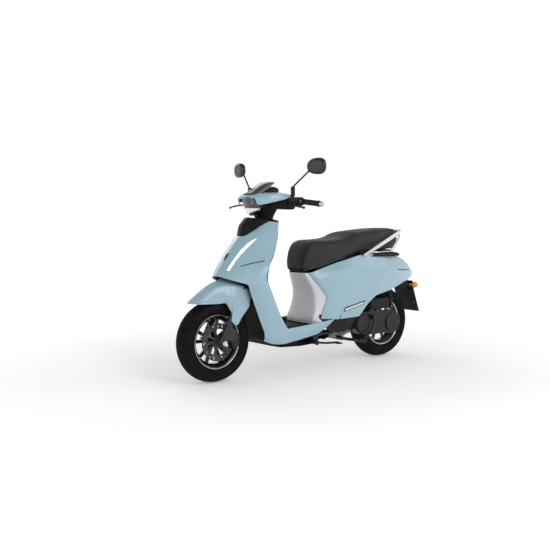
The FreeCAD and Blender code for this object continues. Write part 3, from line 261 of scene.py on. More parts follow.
light("key_light", (0.7, 4.5, 3.1), (0.1, 0, 0.5), (2.6, 2.6), 68)
light("front_light", (4.6, -0.6, 2.2), (0.2, 0, 0.6), (2.6, 2.6), 9)
light("rear_light", (-4.0, 2.6, 2.8), (-0.3, 0, 0.6), (3.0, 2.4), 22)
light("right_light", (-0.5, -4.5, 3.0), (0, 0, 0.6), (4.0, 2.5), 34)
world = bpy.data.worlds.new("studio")
world.use_nodes = True
sky = world.node_tree.nodes["Background"]
sky.inputs["Color"].default_value = (1, 1, 1, 1)
where = world.node_tree.nodes.new("ShaderNodeTexCoord")
parts = world.node_tree.nodes.new("ShaderNodeSeparateXYZ")
fade = world.node_tree.nodes.new("ShaderNodeMapRange")
for socket, value in (("From Min", 0.28), ("From Max", 0.62), ("To Min", 1.02), ("To Max", 0.42)):
    fade.inputs[socket].default_value = value
world.node_tree.links.new(where.outputs["Generated"], parts.inputs["Vector"])
world.node_tree.links.new(parts.outputs["Z"], fade.inputs["Value"])
world.node_tree.links.new(fade.outputs["Result"], sky.inputs["Strength"])
bpy.context.scene.world = world
bpy.context.scene.view_settings.view_transform = "Standard"


def make_floor_material():
    s = Shader("studio_floor", (0.92, 0.92, 0.92), 0.8, Specular_IOR_Level=0.1, Emission_Strength=0.16)
    s.bsdf.inputs["Emission Color"].default_value = (1, 1, 1, 1)
    s.tint(s.noise(1.2, 2), (0.94, 0.94, 0.94)).rough(s.noise(3, 2), 0.75, 0.85)
    # Painted light: the floor glows, and its glow rises from 0.22 within 1 m of the middle to 0.6 beyond 5 m, so the
    # floor is painted darker round the scooter and brighter far off.
    away = s.tree.nodes.new("ShaderNodeVectorMath")
    away.operation = "LENGTH"
    s.tree.links.new(s.coords, away.inputs[0])
    glow = s.spread(away.outputs["Value"], 0.22, 0.6, at=(1.0, 5.0))
    s.tree.links.new(glow, s.bsdf.inputs["Emission Strength"])
    return s.material


floor = bpy.data.meshes.new("studio_floor")
floor.from_pydata([(-30, -30, 0), (30, -30, 0), (30, 30, 0), (-30, 30, 0)], [], [(0, 1, 2, 3)])
floor_object = bpy.data.objects.new("studio_floor", floor)
floor.materials.append(make_floor_material())
bpy.context.scene.collection.objects.link(floor_object)


# ---------------------------------------------------------------- mesh helpers
def smooth(a, b, x):
    t = min(max((x - a) / (b - a), 0.0), 1.0)
    return t * t * (3 - 2 * t)


def lerp(a, b, t):
    return a + (b - a) * t


def table(rows, x):
    """The rows' values at x, read off straight lines between them. Each row starts with its own x."""
    rows = sorted(rows)
    if x <= rows[0][0]:
        return rows[0][1:]
    for low, high in zip(rows, rows[1:]):
        if x <= high[0]:
            t = (x - low[0]) / (high[0] - low[0])
            return tuple(lerp(a, b, t) for a, b in zip(low[1:], high[1:]))
    return rows[-1][1:]


def soft_table(rows, x):
    """The same on a smooth line through the rows."""
    rows = sorted(rows)
    x = min(max(x, rows[0][0]), rows[-1][0])
    i = max(k for k in range(len(rows) - 1) if rows[k][0] <= x)
    p = [rows[max(i - 1, 0)], rows[i], rows[i + 1], rows[min(i + 2, len(rows) - 1)]]
    width = p[2][0] - p[1][0]
    t = (x - p[1][0]) / width
    values = []
    for c in range(1, len(rows[0])):
        before = (p[2][c] - p[0][c]) / max(p[2][0] - p[0][0], 1e-6) * width
        after = (p[3][c] - p[1][c]) / max(p[3][0] - p[1][0], 1e-6) * width
        a, b = p[1][c], p[2][c]
        values.append(
            (2 * t**3 - 3 * t**2 + 1) * a + (t**3 - 2 * t**2 + t) * before
            + (3 * t**2 - 2 * t**3) * b + (t**3 - t**2) * after
        )
    return tuple(values)


def oval(count, power=1.0):
    """Points round a unit circle, squared off by a power below 1."""
    angles = [2 * math.pi * k / count for k in range(count)]
    pairs = [(math.cos(a), math.sin(a)) for a in angles]
    return [tuple(math.copysign(abs(v) ** power, v) for v in pair) for pair in pairs]


def facing(ob, way):
    """Turns a sheet's faces so that its first one looks the given way."""
    if ob.data.polygons[0].normal.dot(Vector(way)) < 0:
        ob.data.flip_normals()
    return ob


def piece(name, verts, faces, mat, body, stands_for=(), soft=True):
    """A mesh of points in millimetres, riding on a body."""
    mesh = bpy.data.meshes.new(name)
    mesh.from_pydata([tuple(c * MM for c in v) for v in verts], [], faces)
    mesh.validate()
    mesh.materials.append(MATS[mat])
    for polygon in mesh.polygons:
        polygon.use_smooth = soft
    ob = bpy.data.objects.new(name, mesh)
    bpy.context.scene.collection.objects.link(ob)
    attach(ob, body)
    if stands_for:
        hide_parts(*stands_for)
    return ob


def grid_faces(rows, cols, closed=False):
    faces = []
    span = cols if closed else cols - 1
    for i in range(rows - 1):
        for j in range(span):
            k = (j + 1) % cols
            faces.append((i * cols + j, i * cols + k, (i + 1) * cols + k, (i + 1) * cols + j))
    return faces


def outward(ob):
    """Turns every face of a closed mesh outwards."""
    work = bmesh.new()
    work.from_mesh(ob.data)
    bmesh.ops.recalc_face_normals(work, faces=work.faces)
    work.to_mesh(ob.data)
    work.free()
    return ob


def add(ob, kind, name, **settings):
    modifier = ob.modifiers.new(name, kind)
    for key, value in settings.items():
        setattr(modifier, key, value)
    return ob


def skin(ob, thickness=3.0, bevel=0.9, offset=-1):
    """Gives a sheet its thickness, and its edges a small round."""
    add(ob, "SOLIDIFY", "thick", thickness=thickness * MM, offset=offset, use_even_offset=True)
    return rounded(ob, bevel, 50) if bevel else ob


def rounded(ob, width=1.0, angle=35, segments=3):
    add(ob, "BEVEL", "round", width=width * MM, segments=segments, limit_method="ANGLE",
        angle_limit=math.radians(angle), harden_normals=False)
    return add(ob, "WEIGHTED_NORMAL", "shade", keep_sharp=True)


def mirror(ob):
    add(ob, "MIRROR", "both", use_axis=(False, True, False), use_clip=True, merge_threshold=0.0004)
    return ob


def subdivided(ob, levels=2):
    return add(ob, "SUBSURF", "smooth", levels=levels, render_levels=levels)


def loft(name, loops, mat, body, caps=True, closed=True, **extra):
    """Skins the space between loops that have the same number of points."""
    cols = len(loops[0])
    verts = [p for loop in loops for p in loop]
    faces = grid_faces(len(loops), cols, closed)
    if caps and closed:
        faces.append(tuple(range(cols))[::-1])
        faces.append(tuple(range((len(loops) - 1) * cols, len(loops) * cols)))
    return outward(piece(name, verts, faces, mat, body, **extra))


def turned(name, profile, centre, mat, body, steps):
    """Turns an open (radius, distance along Y) profile about the line across the centre."""
    loops = []
    for radius, along in profile:
        loops.append([centre + Vector((radius * c, along, radius * s)) for c, s in oval(steps)])
    return loft(name, loops, mat, body, caps=False)


def turned_along(name, profile, start, way, mat, body, steps=32, caps=True, **extra):
    """Turns a (radius, distance) profile about any line."""
    way = Vector(way).normalized()
    side = way.orthogonal().normalized()
    other = way.cross(side)
    loops = []
    for radius, along in profile:
        middle = Vector(start) + way * along
        loops.append([middle + (side * c + other * s) * radius for c, s in oval(steps)])
    return loft(name, loops, mat, body, caps=caps, **extra)


def prism(name, outline, low, high, mat, body, bevel=1.0, plane="XZ", **extra):
    """A plate with a (x, z) outline between two y values, or the same in another plane."""
    def place(a, b, depth):
        return {"XZ": (a, depth, b), "YZ": (depth, a, b), "XY": (a, b, depth)}[plane]

    n = len(outline)
    verts = [place(a, b, low) for a, b in outline] + [place(a, b, high) for a, b in outline]
    faces = [tuple(range(n)), tuple(range(n, 2 * n))[::-1]]
    faces += [(i, i + n, (i + 1) % n + n, (i + 1) % n) for i in range(n)]
    ob = outward(piece(name, verts, faces, mat, body, **extra))
    return rounded(ob, bevel) if bevel else ob


def wire(name, points, radius, mat, body, cyclic=False, smooth_line=True):
    data = bpy.data.curves.new(name, "CURVE")
    data.dimensions = "3D"
    data.bevel_depth = radius * MM
    data.bevel_resolution = 5
    data.use_fill_caps = True
    spline = data.splines.new("NURBS" if smooth_line else "POLY")
    spline.points.add(len(points) - 1)
    for point, place in zip(spline.points, points):
        point.co = (*(Vector(place) * MM), 1)
    if smooth_line:
        spline.order_u = 3
        spline.use_endpoint_u = not cyclic
        spline.resolution_u = 10
    spline.use_cyclic_u = cyclic
    data.materials.append(MATS[mat])
    ob = bpy.data.objects.new(name, data)
    bpy.context.scene.collection.objects.link(ob)
    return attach(ob, body)


def mirrored_points(points, side):
    return [(x, y * side, z) for x, y, z in points]


# ---------------------------------------------------------------- painted shield, leg and sill
SHIELD = [  # height, nose x, edge x, edge y
    (560, 734, 480, 205), (602, 711, 497, 210), (650, 680, 486, 211), (718, 636, 450, 201), (781, 590, 411, 186),
    (845, 532, 384, 168), (905, 478, 363, 151), (932, 448, 357, 143), (950, 414, 352, 138), (962, 372, 348, 134),
]


def on_shield(z, t, out=0.0):
    """A point on the shield's face at height z, with t from 0 on the middle plane to 1 at its edge."""
    nose, edge_x, edge_y = soft_table(SHIELD, z)
    x = nose - (nose - edge_x) * abs(t) ** 1.85
    y = edge_y * t
    slope = -(nose - edge_x) * 1.85 * abs(t) ** 0.85 / edge_y * (1 if t >= 0 else -1)
    normal = Vector((1, -slope, 0)).normalized()
    rise = (soft_table(SHIELD, z + 4)[0] - soft_table(SHIELD, z - 4)[0]) / 8
    normal = Vector((normal.x, normal.y, -rise * normal.x)).normalized()
    strip_t = lerp(0.29, 0.56, smooth(640, 822, z))
    raised = 3.5 * math.exp(-((abs(t) - strip_t) / 0.07) ** 2) * smooth(600, 680, z) * (1 - smooth(800, 880, z))
    flank_fold = -5.0 * smooth(0.60, 0.98, abs(t)) * smooth(660, 720, z)
    hollow = -4.0 * math.exp(-((abs(t) - 0.12) / 0.16) ** 2) * smooth(650, 760, z)
    return Vector((x, y, z)) + normal * (raised + flank_fold + hollow + out)


def lip_z(t):
    return 611 - 43 * (min(abs(t) / 0.72, 1)) ** 1.7


def top_z(t):
    """The painted shield's upper edge, which dips in the middle round the black panel."""
    rows = [(0, 843), (0.20, 843), (0.27, 848), (0.385, 864), (0.524, 891), (0.652, 914), (0.76, 925), (1, 920)]
    return table(rows, abs(t))[0]


LEG = [  # height, front x, front y, rear x, rear y
    (568, 586, 148, 483, 206), (540, 576, 147, 468, 203), (505, 563, 146, 444, 197), (450, 541, 147, 414, 191),
    (393, 518, 149, 385, 186), (340, 498, 152, 352, 182), (300, 482, 156, 322, 179), (280, 474, 158, 306, 178),
]


def on_leg(z, s):
    """A point on the leg below the shield, with s from 0 at its front edge to 1 at its rear edge."""
    front_x, front_y, rear_x, rear_y = soft_table(LEG, z)
    x, y = lerp(front_x, rear_x, s), lerp(front_y, rear_y, s)
    away = Vector((rear_y - front_y, front_x - rear_x, 0)).normalized()
    bulge = 15 * (1 - abs(2 * s - 1) ** 2.2)
    return Vector((x, y, z)) + away * bulge


def make_body_shield():
    ts = [0.72 * i / 18 for i in range(18)] + [0.72 + 0.28 * i / 10 for i in range(11)]
    verts, faces, index = [], [], {}

    def vertex(key, point):
        if key not in index:
            index[key] = len(verts)
            verts.append(tuple(point))
        return index[key]

    rows = 34
    for i in range(rows):
        for j in range(len(ts) - 1):
            corner = []
            for a, b in ((i, j), (i, j + 1), (i + 1, j + 1), (i + 1, j)):
                t, v = ts[b], a / rows
                z = lerp(lip_z(t), top_z(t), v)
                base = on_shield(z, t)
                if t > 0.72 and z < 680:
                    s = (t - 0.72) / 0.28
                    blend = 1 - smooth(575, 680, z)
                    leg = on_leg(min(z, 568), s)
                    base = base.lerp(Vector((leg.x + (base.x - on_shield(568, t).x), leg.y, z)), blend)
                corner.append(vertex(("s", a, b), base))
            faces.append(corner)
    lows = [t for t in ts if t >= 0.7199]
    steps = 30
    for i in range(steps):
        for j in range(len(lows) - 1):
            corner = []
            for a, b in ((i, j), (i, j + 1), (i + 1, j + 1), (i + 1, j)):
                key = ("s", 0, ts.index(lows[b])) if a == 0 else ("l", a, b)
                s = (lows[b] - 0.72) / 0.28
                z = lerp(568, 288, a / steps)
                corner.append(vertex(key, on_leg(z, s)))
            faces.append(corner[::-1])
    front = len(lows) - 1
    sill_rows = 8
    count = 34
    for j in range(front + count):
        for i in range(sill_rows):
            corner = []
            for a, b in ((i, j), (i, j + 1), (i + 1, j + 1), (i + 1, j)):
                if a == 0 and b <= front:
                    corner.append(index[("l", steps, b)])
                    continue
                corner.append(vertex(("f", a, b), on_sill(a / sill_rows, b, front, count)))
            faces.append(corner[::-1])
    ob = piece("body_shield", verts, faces, "paint", "chassis", stands_for=("front_shield", "side_sills"))
    mirror(outward_sheet(ob))
    return skin(ob, 3.2, 0.9)


def outward_sheet(ob):
    """Turns a sheet's faces the same way, so that those at its side face away from the middle plane."""
    work = bmesh.new()
    work.from_mesh(ob.data)
    bmesh.ops.remove_doubles(work, verts=work.verts, dist=0.0002)
    bmesh.ops.recalc_face_normals(work, faces=work.faces)
    work.faces.ensure_lookup_table()
    score = sum(f.normal.y * f.calc_center_median().y * f.calc_area() for f in work.faces)
    if score < 0:
        bmesh.ops.reverse_faces(work, faces=work.faces)
    work.to_mesh(ob.data)
    work.free()
    for polygon in ob.data.polygons:
        polygon.use_smooth = True
    return ob


SILL = [  # x, top z, bottom z, y of the face, y of the lower edge
    (474, 288, 226, 158, 148), (440, 288, 211, 166, 152), (400, 288, 203, 171, 157), (325, 288, 199, 177, 162),
    (306, 289, 201, 178, 163), (200, 295, 212, 178, 163), (60, 305, 234, 178, 165), (-20, 310.5, 275, 178, 169),
    (-64, 314, 311, 178, 178),
]


def on_sill(v, column, front, count):
    if column <= front:
        x = on_leg(288, column / front).x
    else:
        x = lerp(on_leg(288, 1).x, -64, (column - front) / count)
    top, bottom, y_face, y_low = table(SILL, x)
    if column <= front:
        y_face = on_leg(288, column / front).y
        y_low = y_face - 13
        x = lerp(x, x - 10, v * (1 - column / front))
    z = lerp(top, bottom, v)
    tuck = smooth(0.62, 1.0, v)
    bow = 3 * math.sin(math.pi * min(v / 0.62, 1))
    return Vector((x, lerp(y_face, y_low, tuck) + bow * 0.4, z))


make_body_shield()


def shield_patch(name, low, high, mat, out, thick, across):
    """A piece on the shield's face, left and right, between two lines of (height, t) points."""
    verts = []
    for i in range(across + 1):
        u = i / across
        a, b = (table([(k / (len(line) - 1), *p) for k, p in enumerate(line)], u) for line in (low, high))
        for j in range(5):
            z, t = lerp(a[0], b[0], j / 4), lerp(a[1], b[1], j / 4)
            verts.append(on_shield(z, t, out))
    for label, side in SIDES:
        ob = piece(f"{name}_{label}", [(v.x, v.y * side, v.z) for v in verts], grid_faces(across + 1, 5), mat,
                   "chassis")
        skin(outward_sheet(ob), thick, 0.6)


STRIP_OUTER = [(641, 0.326), (701, 0.377), (755, 0.460), (800, 0.55), (824, 0.604)]
STRIP_INNER = [(645, 0.261), (696, 0.298), (749, 0.352), (797, 0.455), (822, 0.585)]
BED_OUTER = [(638, 0.331), (700.5, 0.382), (755, 0.465), (800.5, 0.555), (826, 0.610)]
BED_INNER = [(643, 0.256), (696, 0.292), (749, 0.346), (798, 0.449), (824, 0.588)]
SLIT_LOW = [(666.5, 0.52), (684, 0.72), (697, 0.896)]
SLIT_HIGH = [(671.5, 0.52), (689.5, 0.72), (703, 0.896)]
shield_patch("light_strip", STRIP_OUTER, STRIP_INNER, "glow", 1.5, 2.5, 30)
shield_patch("light_strip_bed", BED_OUTER, BED_INNER, "brown", 0.7, 2.5, 30)
shield_patch("air_slit", SLIT_LOW, SLIT_HIGH, "gloss", 0.6, 2.0, 20)


# ---------------------------------------------------------------- front mudguard
FENDER = [  # ridge x, z; shoulder x, y, z; waist x, y, z; lower edge x, y, z
    ((903, 468), (900, 4, 467), (899, 6, 465), (898, 7, 463)),
    ((872, 493), (868, 27, 485), (867, 43, 473), (866, 52, 463)),
    ((838, 515), (832, 38, 506), (828, 58, 483), (826, 67, 462)),
    ((800, 541), (792, 45, 529), (782, 64, 492), (778, 67, 460)),
    ((768, 560), (757, 50, 545), (738, 69, 498), (728, 70, 459)),
    ((740, 573), (728, 56, 555), (708, 74, 498), (694, 74, 459)),
    ((715, 582), (701, 62, 561), (690, 86, 488), (680, 88, 434)),
    ((690, 589), (676, 70, 564), (666, 99, 480), (667, 103, 396)),
    ((668, 594), (652, 82, 562), (650, 108, 476), (676, 112, 361)),
    ((645, 597), (628, 91, 559), (626, 111, 470), (640, 115, 334)),
    ((620, 598), (604, 96, 556), (602, 112, 466), (608, 115, 374)),
    ((592, 590), (580, 98, 552), (580, 111, 470), (578, 114, 406)),
    ((560, 576), (556, 96, 542), (557, 109, 478), (550, 112, 436)),
    ((534, 548), (534, 88, 526), (536, 99, 495), (534, 100, 470)),
    ((514, 510), (515, 78, 502), (516, 88, 490), (515, 90, 480)),
]


def make_fender():
    rows = []
    for k, (ridge, shoulder, waist, low) in enumerate(FENDER):
        rows.append((k, ridge[0], 0, ridge[1], *shoulder, *waist, *low))
    verts, columns = [], 84
    for i in range(columns + 1):
        k = (len(FENDER) - 1) * i / columns
        v = soft_table(rows, k)
        r, s, w, l = Vector(v[:3]), Vector(v[3:6]), Vector(v[6:9]), Vector(v[9:])
        for j in range(9):
            t = j / 8
            verts.append(r.lerp(s, t) + Vector((0.1, 0.15, 1)) * (2.4 * math.sin(math.pi * t)))
        for j in range(1, 8):
            t = j / 7
            verts.append(s.lerp(w, t) + Vector((0.2, 0.9, 0.4)) * (3.0 * math.sin(math.pi * t)))
        for j in range(1, 11):
            t = j / 10
            verts.append(w.lerp(l, t) + Vector((0, 1, 0)) * (2.0 * math.sin(math.pi * t)))
    ob = piece("front_fender", verts, grid_faces(columns + 1, 26), "paint", "steering",
               stands_for=("front_mudguard",))
    mirror(outward_sheet(ob))
    return skin(ob, 3.0, 0.9)


make_fender()


# ---------------------------------------------------------------- panels drawn as outlines
def rounded_outline(points, radius, steps=5):
    """The outline with each corner rounded. A point may end in its own radius."""
    made = []
    n = len(points)
    for i, point in enumerate(points):
        here = Vector(point[:2])
        r = point[2] if len(point) > 2 else radius
        before, after = Vector(points[i - 1][:2]), Vector(points[(i + 1) % n][:2])
        to_a, to_b = before - here, after - here
        cut = min(r, 0.45 * to_a.length, 0.45 * to_b.length)
        if cut < 0.2:
            made.append(tuple(here))
            continue
        a, b = here + to_a.normalized() * cut, here + to_b.normalized() * cut
        for k in range(steps + 1):
            t = k / steps
            made.append(tuple(a * (1 - t) ** 2 + here * 2 * t * (1 - t) + b * t**2))
    return made


def panel(name, outline, depth, mat, body, step=12, lines=(), stands_for=(), plane="XZ"):
    """A sheet over an outline: depth(a, b) is its third coordinate. Its grid also follows the given lines."""
    work = bmesh.new()
    work.faces.new([work.verts.new((a, b, 0)) for a, b in outline])
    lows = [min(p[k] for p in outline) for k in (0, 1)]
    highs = [max(p[k] for p in outline) for k in (0, 1)]
    cuts = []
    for k in (0, 1):
        count = int((highs[k] - lows[k]) / step)
        for i in range(1, count + 1):
            spot = [0.0, 0.0, 0.0]
            spot[k] = lows[k] + (highs[k] - lows[k]) * i / (count + 1) + 0.037
            way = [0.0, 0.0, 0.0]
            way[k] = 1.0
            cuts.append((spot, way))
    for (a1, b1), (a2, b2) in lines:
        cuts.append(((a1, b1, 0), (b2 - b1, a1 - a2, 0)))
    for spot, way in cuts:
        geometry = list(work.verts) + list(work.edges) + list(work.faces)
        bmesh.ops.bisect_plane(work, geom=geometry, plane_co=spot, plane_no=way, dist=0.01)
    for v in work.verts:
        a, b = v.co.x, v.co.y
        place = {"XZ": (a, depth(a, b), b), "YZ": (depth(a, b), a, b), "XY": (a, b, depth(a, b))}[plane]
        v.co = Vector(place) * MM
    mesh = bpy.data.meshes.new(name)
    work.to_mesh(mesh)
    work.free()
    mesh.materials.append(MATS[mat])
    for polygon in mesh.polygons:
        polygon.use_smooth = True
    ob = bpy.data.objects.new(name, mesh)
    bpy.context.scene.collection.objects.link(ob)
    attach(ob, body)
    if stands_for:
        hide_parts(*stands_for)
    return outward_sheet(ob)


def near_line(a, b, line):
    """Distance from a point to a broken line."""
    best = 1e9
    for (x1, z1), (x2, z2) in zip(line, line[1:]):
        dx, dz = x2 - x1, z2 - z1
        t = min(max(((a - x1) * dx + (b - z1) * dz) / (dx * dx + dz * dz), 0), 1)
        best = min(best, math.hypot(a - x1 - t * dx, b - z1 - t * dz))
    return best


FLANK = [  # x, then height and half width of the top edge, the crease and the bottom edge
    (130, 600, 84, 560, 92, 290, 120), (60, 616, 98, 560, 112, 290, 160), (0, 632, 112, 568, 136, 290, 176),
    (-100, 660, 126, 606, 158, 290, 183), (-220, 690, 134, 622, 169, 296, 184), (-340, 706, 134, 624, 172, 330, 182),
    (-450, 704, 126, 616, 168, 400, 174), (-600, 694, 110, 604, 152, 450, 154), (-740, 668, 92, 590, 124, 490, 118),
    (-840, 632, 74, 578, 92, 505, 84), (-930, 574, 46, 555, 50, 525, 46),
]
FLANK_FRONT = [(70, 602), (-33, 447), (24, 322)]
FLANK_EDGE = [
    (70, 602, 3), (-33, 447, 20), (24, 321, 5), (-112, 309, 8), (-291, 312, 10), (-371, 391, 18), (-443, 437, 14),
    (-600, 463, 30), (-760, 497, 30), (-870, 514, 20), (-926, 534, 8), (-930, 556, 8), (-884, 598, 18),
    (-836, 628, 30), (-740, 667, 50), (-600, 694, 60), (-340, 705, 60), (-104, 656, 50),
]
DIAGONAL = ((-33, 452), (-480, 529))
REAR_FOLD = ((-476, 469), (-543, 612))


def flank_y(x, z, out=0.0):
    """Half width of the body's side: two facets that meet at a crease, a lower tuck and a rear fold."""
    z_top, y_top, z_mid, y_mid, z_low, y_low = soft_table(FLANK, x)
    if z > z_mid:
        y = lerp(y_mid, y_top, (z - z_mid) / (z_top - z_mid))
    else:
        y = lerp(y_low, y_mid, (z - z_low) / (z_mid - z_low))
    (x1, z1), (x2, z2) = DIAGONAL
    under = z1 + (x - x1) * (z2 - z1) / (x2 - x1) - z
    y -= 0.085 * max(under, 0) * smooth(-560, -470, x)
    (x1, z1), (x2, z2) = REAR_FOLD
    behind = x1 + (z - z1) * (x2 - x1) / (z2 - z1) - x
    y += 5.0 * math.exp(-abs(behind) / 60)
    y -= 0.45 * max(18 - near_line(x, z, FLANK_FRONT), 0)
    return y + out


def make_flanks():
    outline = rounded_outline(FLANK_EDGE, 8, 6)
    lines = [DIAGONAL, REAR_FOLD, ((55, 612), (-48, 457)), ((-49.4, 439.6), (7.6, 313.6))]
    for k, n in ((1, 3), (3, 6), (6, 9)):
        lines.append(((FLANK[k][0], FLANK[k][3]), (FLANK[n][0], FLANK[n][3])))
    for label, side in SIDES:
        ob = panel(f"flank_{label}", outline, lambda x, z: side * flank_y(x, z), "paint", "chassis", 8, lines,
                   stands_for=("rear_body_panels",))
        skin(ob, 3.2, 1.0)


make_flanks()


def flank_patch(name, outline, mat, out, thick=2.2, radius=3, step=10):
    outline = rounded_outline(outline, radius)
    for label, side in SIDES:
        ob = panel(f"{name}_{label}", outline, lambda x, z: side * flank_y(x, z, out), mat, "chassis", step)
        skin(ob, thick, 0.5)


flank_patch("flank_badge", [(-150, 352), (-161, 378), (-340, 412), (-330, 387)], "gloss", 1.8, 3.0)
flank_patch("flank_badge_inlay", [(-160, 358), (-167, 371), (-331, 404), (-324, 390)], "silver", 2.5, 1.4, 2)
flank_patch("tail_slit", [(-690, 588), (-693, 595), (-872, 581), (-870, 574)], "gloss", 1.2, 3.0, 2)
flank_patch("flank_split", [(-127, 341), (-132, 341), (-122, 308), (-116, 308)], "black", 0.6, 3.0, 1)


def make_tail_lid():
    """The painted top of the tail between the two flanks, behind the seat."""
    rows = [(-560, 696, 128), (-620, 694, 120), (-680, 688, 108), (-760, 668, 88), (-830, 640, 68), (-868, 610, 58)]
    verts = []
    for i in range(25):
        x = lerp(-560, -868, i / 24)
        z, half = soft_table(rows, x)
        for j in range(15):
            t = j / 14
            verts.append((x, half * t, z + 8 - 12 * t**2.4))
    ob = piece("tail_lid", verts, grid_faces(25, 15), "paint", "chassis", stands_for=("rear_body_panels",))
    mirror(outward_sheet(ob))
    return skin(ob, 3.0, 0.8)


make_tail_lid()

# ---------------------------------------------------------------- grey panel under the seat's nose
CENTRE = [  # height, x on the middle plane, x of the front facet's edge, its y
    (290, 81, 67, 121), (318, 80.5, 67, 121), (344, 72, 58, 119), (366, 62, 47, 117), (400, 54, 38, 114),
    (440, 49, 34, 108), (468, 50, 36, 103),
    (500, 58, 44, 97), (540, 76, 62, 88), (575, 96, 80, 80), (602, 111, 93, 74),
]


def make_centre():
    verts, rows, cols = [], 48, 26
    for i in range(rows + 1):
        z = lerp(291, 602, i / rows)
        nose, x1, y1 = soft_table(CENTRE, z)
        edge = table([(f[1], f[0]) for f in FLANK_FRONT], z)[0]
        x2, y2 = edge - 8, flank_y(edge, z) - 6.0
        for j in range(cols + 1):
            t = j / cols
            if t < 0.45:
                u = t / 0.45
                verts.append((lerp(nose, x1, u**2.2), y1 * u, z))
            else:
                u = (t - 0.45) / 0.55
                bulge = 3 * math.sin(math.pi * u)
                verts.append((lerp(x1, x2, u) + 0.6 * bulge, lerp(y1, y2, u) + 0.8 * bulge, z))
    ob = piece("centre_shell", verts, grid_faces(rows + 1, cols + 1), "grey", "chassis",
               stands_for=("centre_panel",))
    mirror(outward_sheet(ob))
    return skin(ob, 3.0, 0.8)


make_centre()


# ---------------------------------------------------------------- black liners and panels
def make_nose_liner():
    """The dark underside inside the shield's lower lip."""
    verts = []
    for i in range(37):
        t = lerp(-0.72, 0.72, i / 36)
        edge = on_shield(lip_z(t), t, -3.6)
        for j in range(6):
            u = j / 5
            inner = Vector((lerp(edge.x, 545, u), edge.y * lerp(1, 0.86, u), edge.z + 3 + 30 * u**0.7))
            verts.append(inner)
    ob = piece("nose_liner", verts, grid_faces(37, 6), "brown", "chassis")
    add(ob, "SOLIDIFY", "thick", thickness=2.0 * MM, offset=0)
    return ob


make_nose_liner()


def make_leg_flange():
    """The return of each leg behind the front wheel: part of the blue-painted leg, given the pale grey panel material
    as painted shade.
    """
    for label, side in SIDES:
        verts = []
        for i in range(21):
            z = lerp(562, 385, i / 20)
            edge = on_leg(z, 0.0)
            for j in range(5):
                u = j / 4
                verts.append((edge.x - 4 - 22 * u, side * (edge.y - 1 - 13 * u), z))
        # Painted shade: the pale grey material stands in for the leg's blue paint in shade on this face.
        ob = piece(f"leg_return_painted_shade_{label}", verts, grid_faces(21, 5), "grey", "chassis")
        outward_sheet(ob)
        add(ob, "SOLIDIFY", "thick", thickness=2.5 * MM, offset=0)


make_leg_flange()


def make_badge():
    """A plain dark shield-shaped emblem with a raised rim."""
    outline = [(-11, 742), (0, 746), (11, 742), (15, 724), (11, 706), (0, 693), (-11, 706), (-15, 724)]

    def face(y, z, out):
        _, _, edge_y = soft_table(SHIELD, z)
        return on_shield(z, y / edge_y, out).x

    for name, size, out, mat in (("badge_rim", 1.0, 2.0, "silver"), ("badge_face", 0.88, 3.0, "gloss"),
                                 ("badge_core", 0.45, 4.0, "enamel")):
        points = [(y * size, 720 + (z - 720) * size) for y, z in outline]
        points = rounded_outline(points, 4)
        ob = panel(name, points, lambda y, z: face(y, z, out), mat, "chassis", 5, plane="YZ")
        skin(facing(ob, (1, 0, 0)), 3.0, 0.6)


make_badge()


def make_shield_top():
    """The black panel on the shield's top and the neck behind it."""
    verts = []
    for i in range(41):
        t = lerp(-1, 1, i / 40)
        for j in range(9):
            u = j / 8
            z = lerp(top_z(t) - 4, 926 if abs(t) < 0.76 else 930, u)
            proud = 27 * smooth(838, 892, z) * (1 - min(abs(t) / 0.72, 1) ** 2)
            verts.append(on_shield(z, t, (1.6 if abs(t) < 0.7 else -1.0) + proud))
    rim = [verts[i * 9 + 8] for i in range(41)]
    cols = 9
    total = []
    for i in range(41):
        total.extend(verts[i * cols:(i + 1) * cols])
        a = math.radians(lerp(-88, 88, i / 40))
        goal = Vector((352 + 44 * math.cos(a), 58 * math.sin(a), 932))
        for k in range(1, 8):
            u = k / 7
            p = rim[i]
            q = p.lerp(goal, smooth(0, 1, u))
            q.z = lerp(p.z, 936, smooth(0, 0.75, u)) - 3 * smooth(0.7, 1, u)
            total.append(q)
    ob = piece("shield_top", total, grid_faces(41, cols + 7), "brown", "chassis", stands_for=("shield_top_panel",))
    outward_sheet(ob)
    return skin(ob, 2.5, 0.6)


make_shield_top()


# ---------------------------------------------------------------- seat
SEAT = [  # x, lowest z, highest z, half width, half width of its lower edge
    (113, 642, 654, 40, 38), (110, 632, 678, 68, 65), (100, 628, 718, 84, 80), (84, 630, 757, 94, 89),
    (60, 637, 787, 104, 98), (30, 644, 800, 113, 106), (0, 650, 804, 121, 113), (-60, 662, 805, 131, 122),
    (-120, 676, 807, 138, 129), (-184, 690, 811, 141, 131), (-230, 700, 820, 141, 128), (-271, 708, 836, 139, 122),
    (-310, 717, 847, 136, 118), (-360, 724, 853, 133, 112), (-430, 725.5, 859, 129, 106), (-500, 726, 864, 126, 102),
    (-570, 727, 867, 120, 96), (-640, 729, 868, 111, 88), (-690, 733, 866, 100, 80), (-720, 742, 857, 86, 70),
    (-740, 758, 841, 64, 52), (-750, 782, 822, 38, 30),
]
RING = [  # position round the section, then y and z as shares of the half width and the height
    (0.0, 0.0, 0.0, 1), (0.08, 0.55, 0.0, 1), (0.14, 0.93, 0.0, 1), (0.17, 1.0, 0.035, 1), (0.30, 1.0, 0.24, 0),
    (0.42, 1.0, 0.50, 0), (0.52, 0.955, 0.74, 0), (0.58, 0.885, 0.865, 0), (0.64, 0.77, 0.945, 0),
    (0.76, 0.50, 0.985, 0), (0.88, 0.25, 0.997, 0), (1.0, 0.0, 1.0, 0),
]
TOP_SEAM = 0.585


def groove(distance, width, depth):
    """A sewn channel: a narrow dip with a slight swell each side."""
    d = abs(distance) / width
    return depth * (math.exp(-d * d) - 0.28 * math.exp(-((d - 2.6) ** 2) / 1.6))


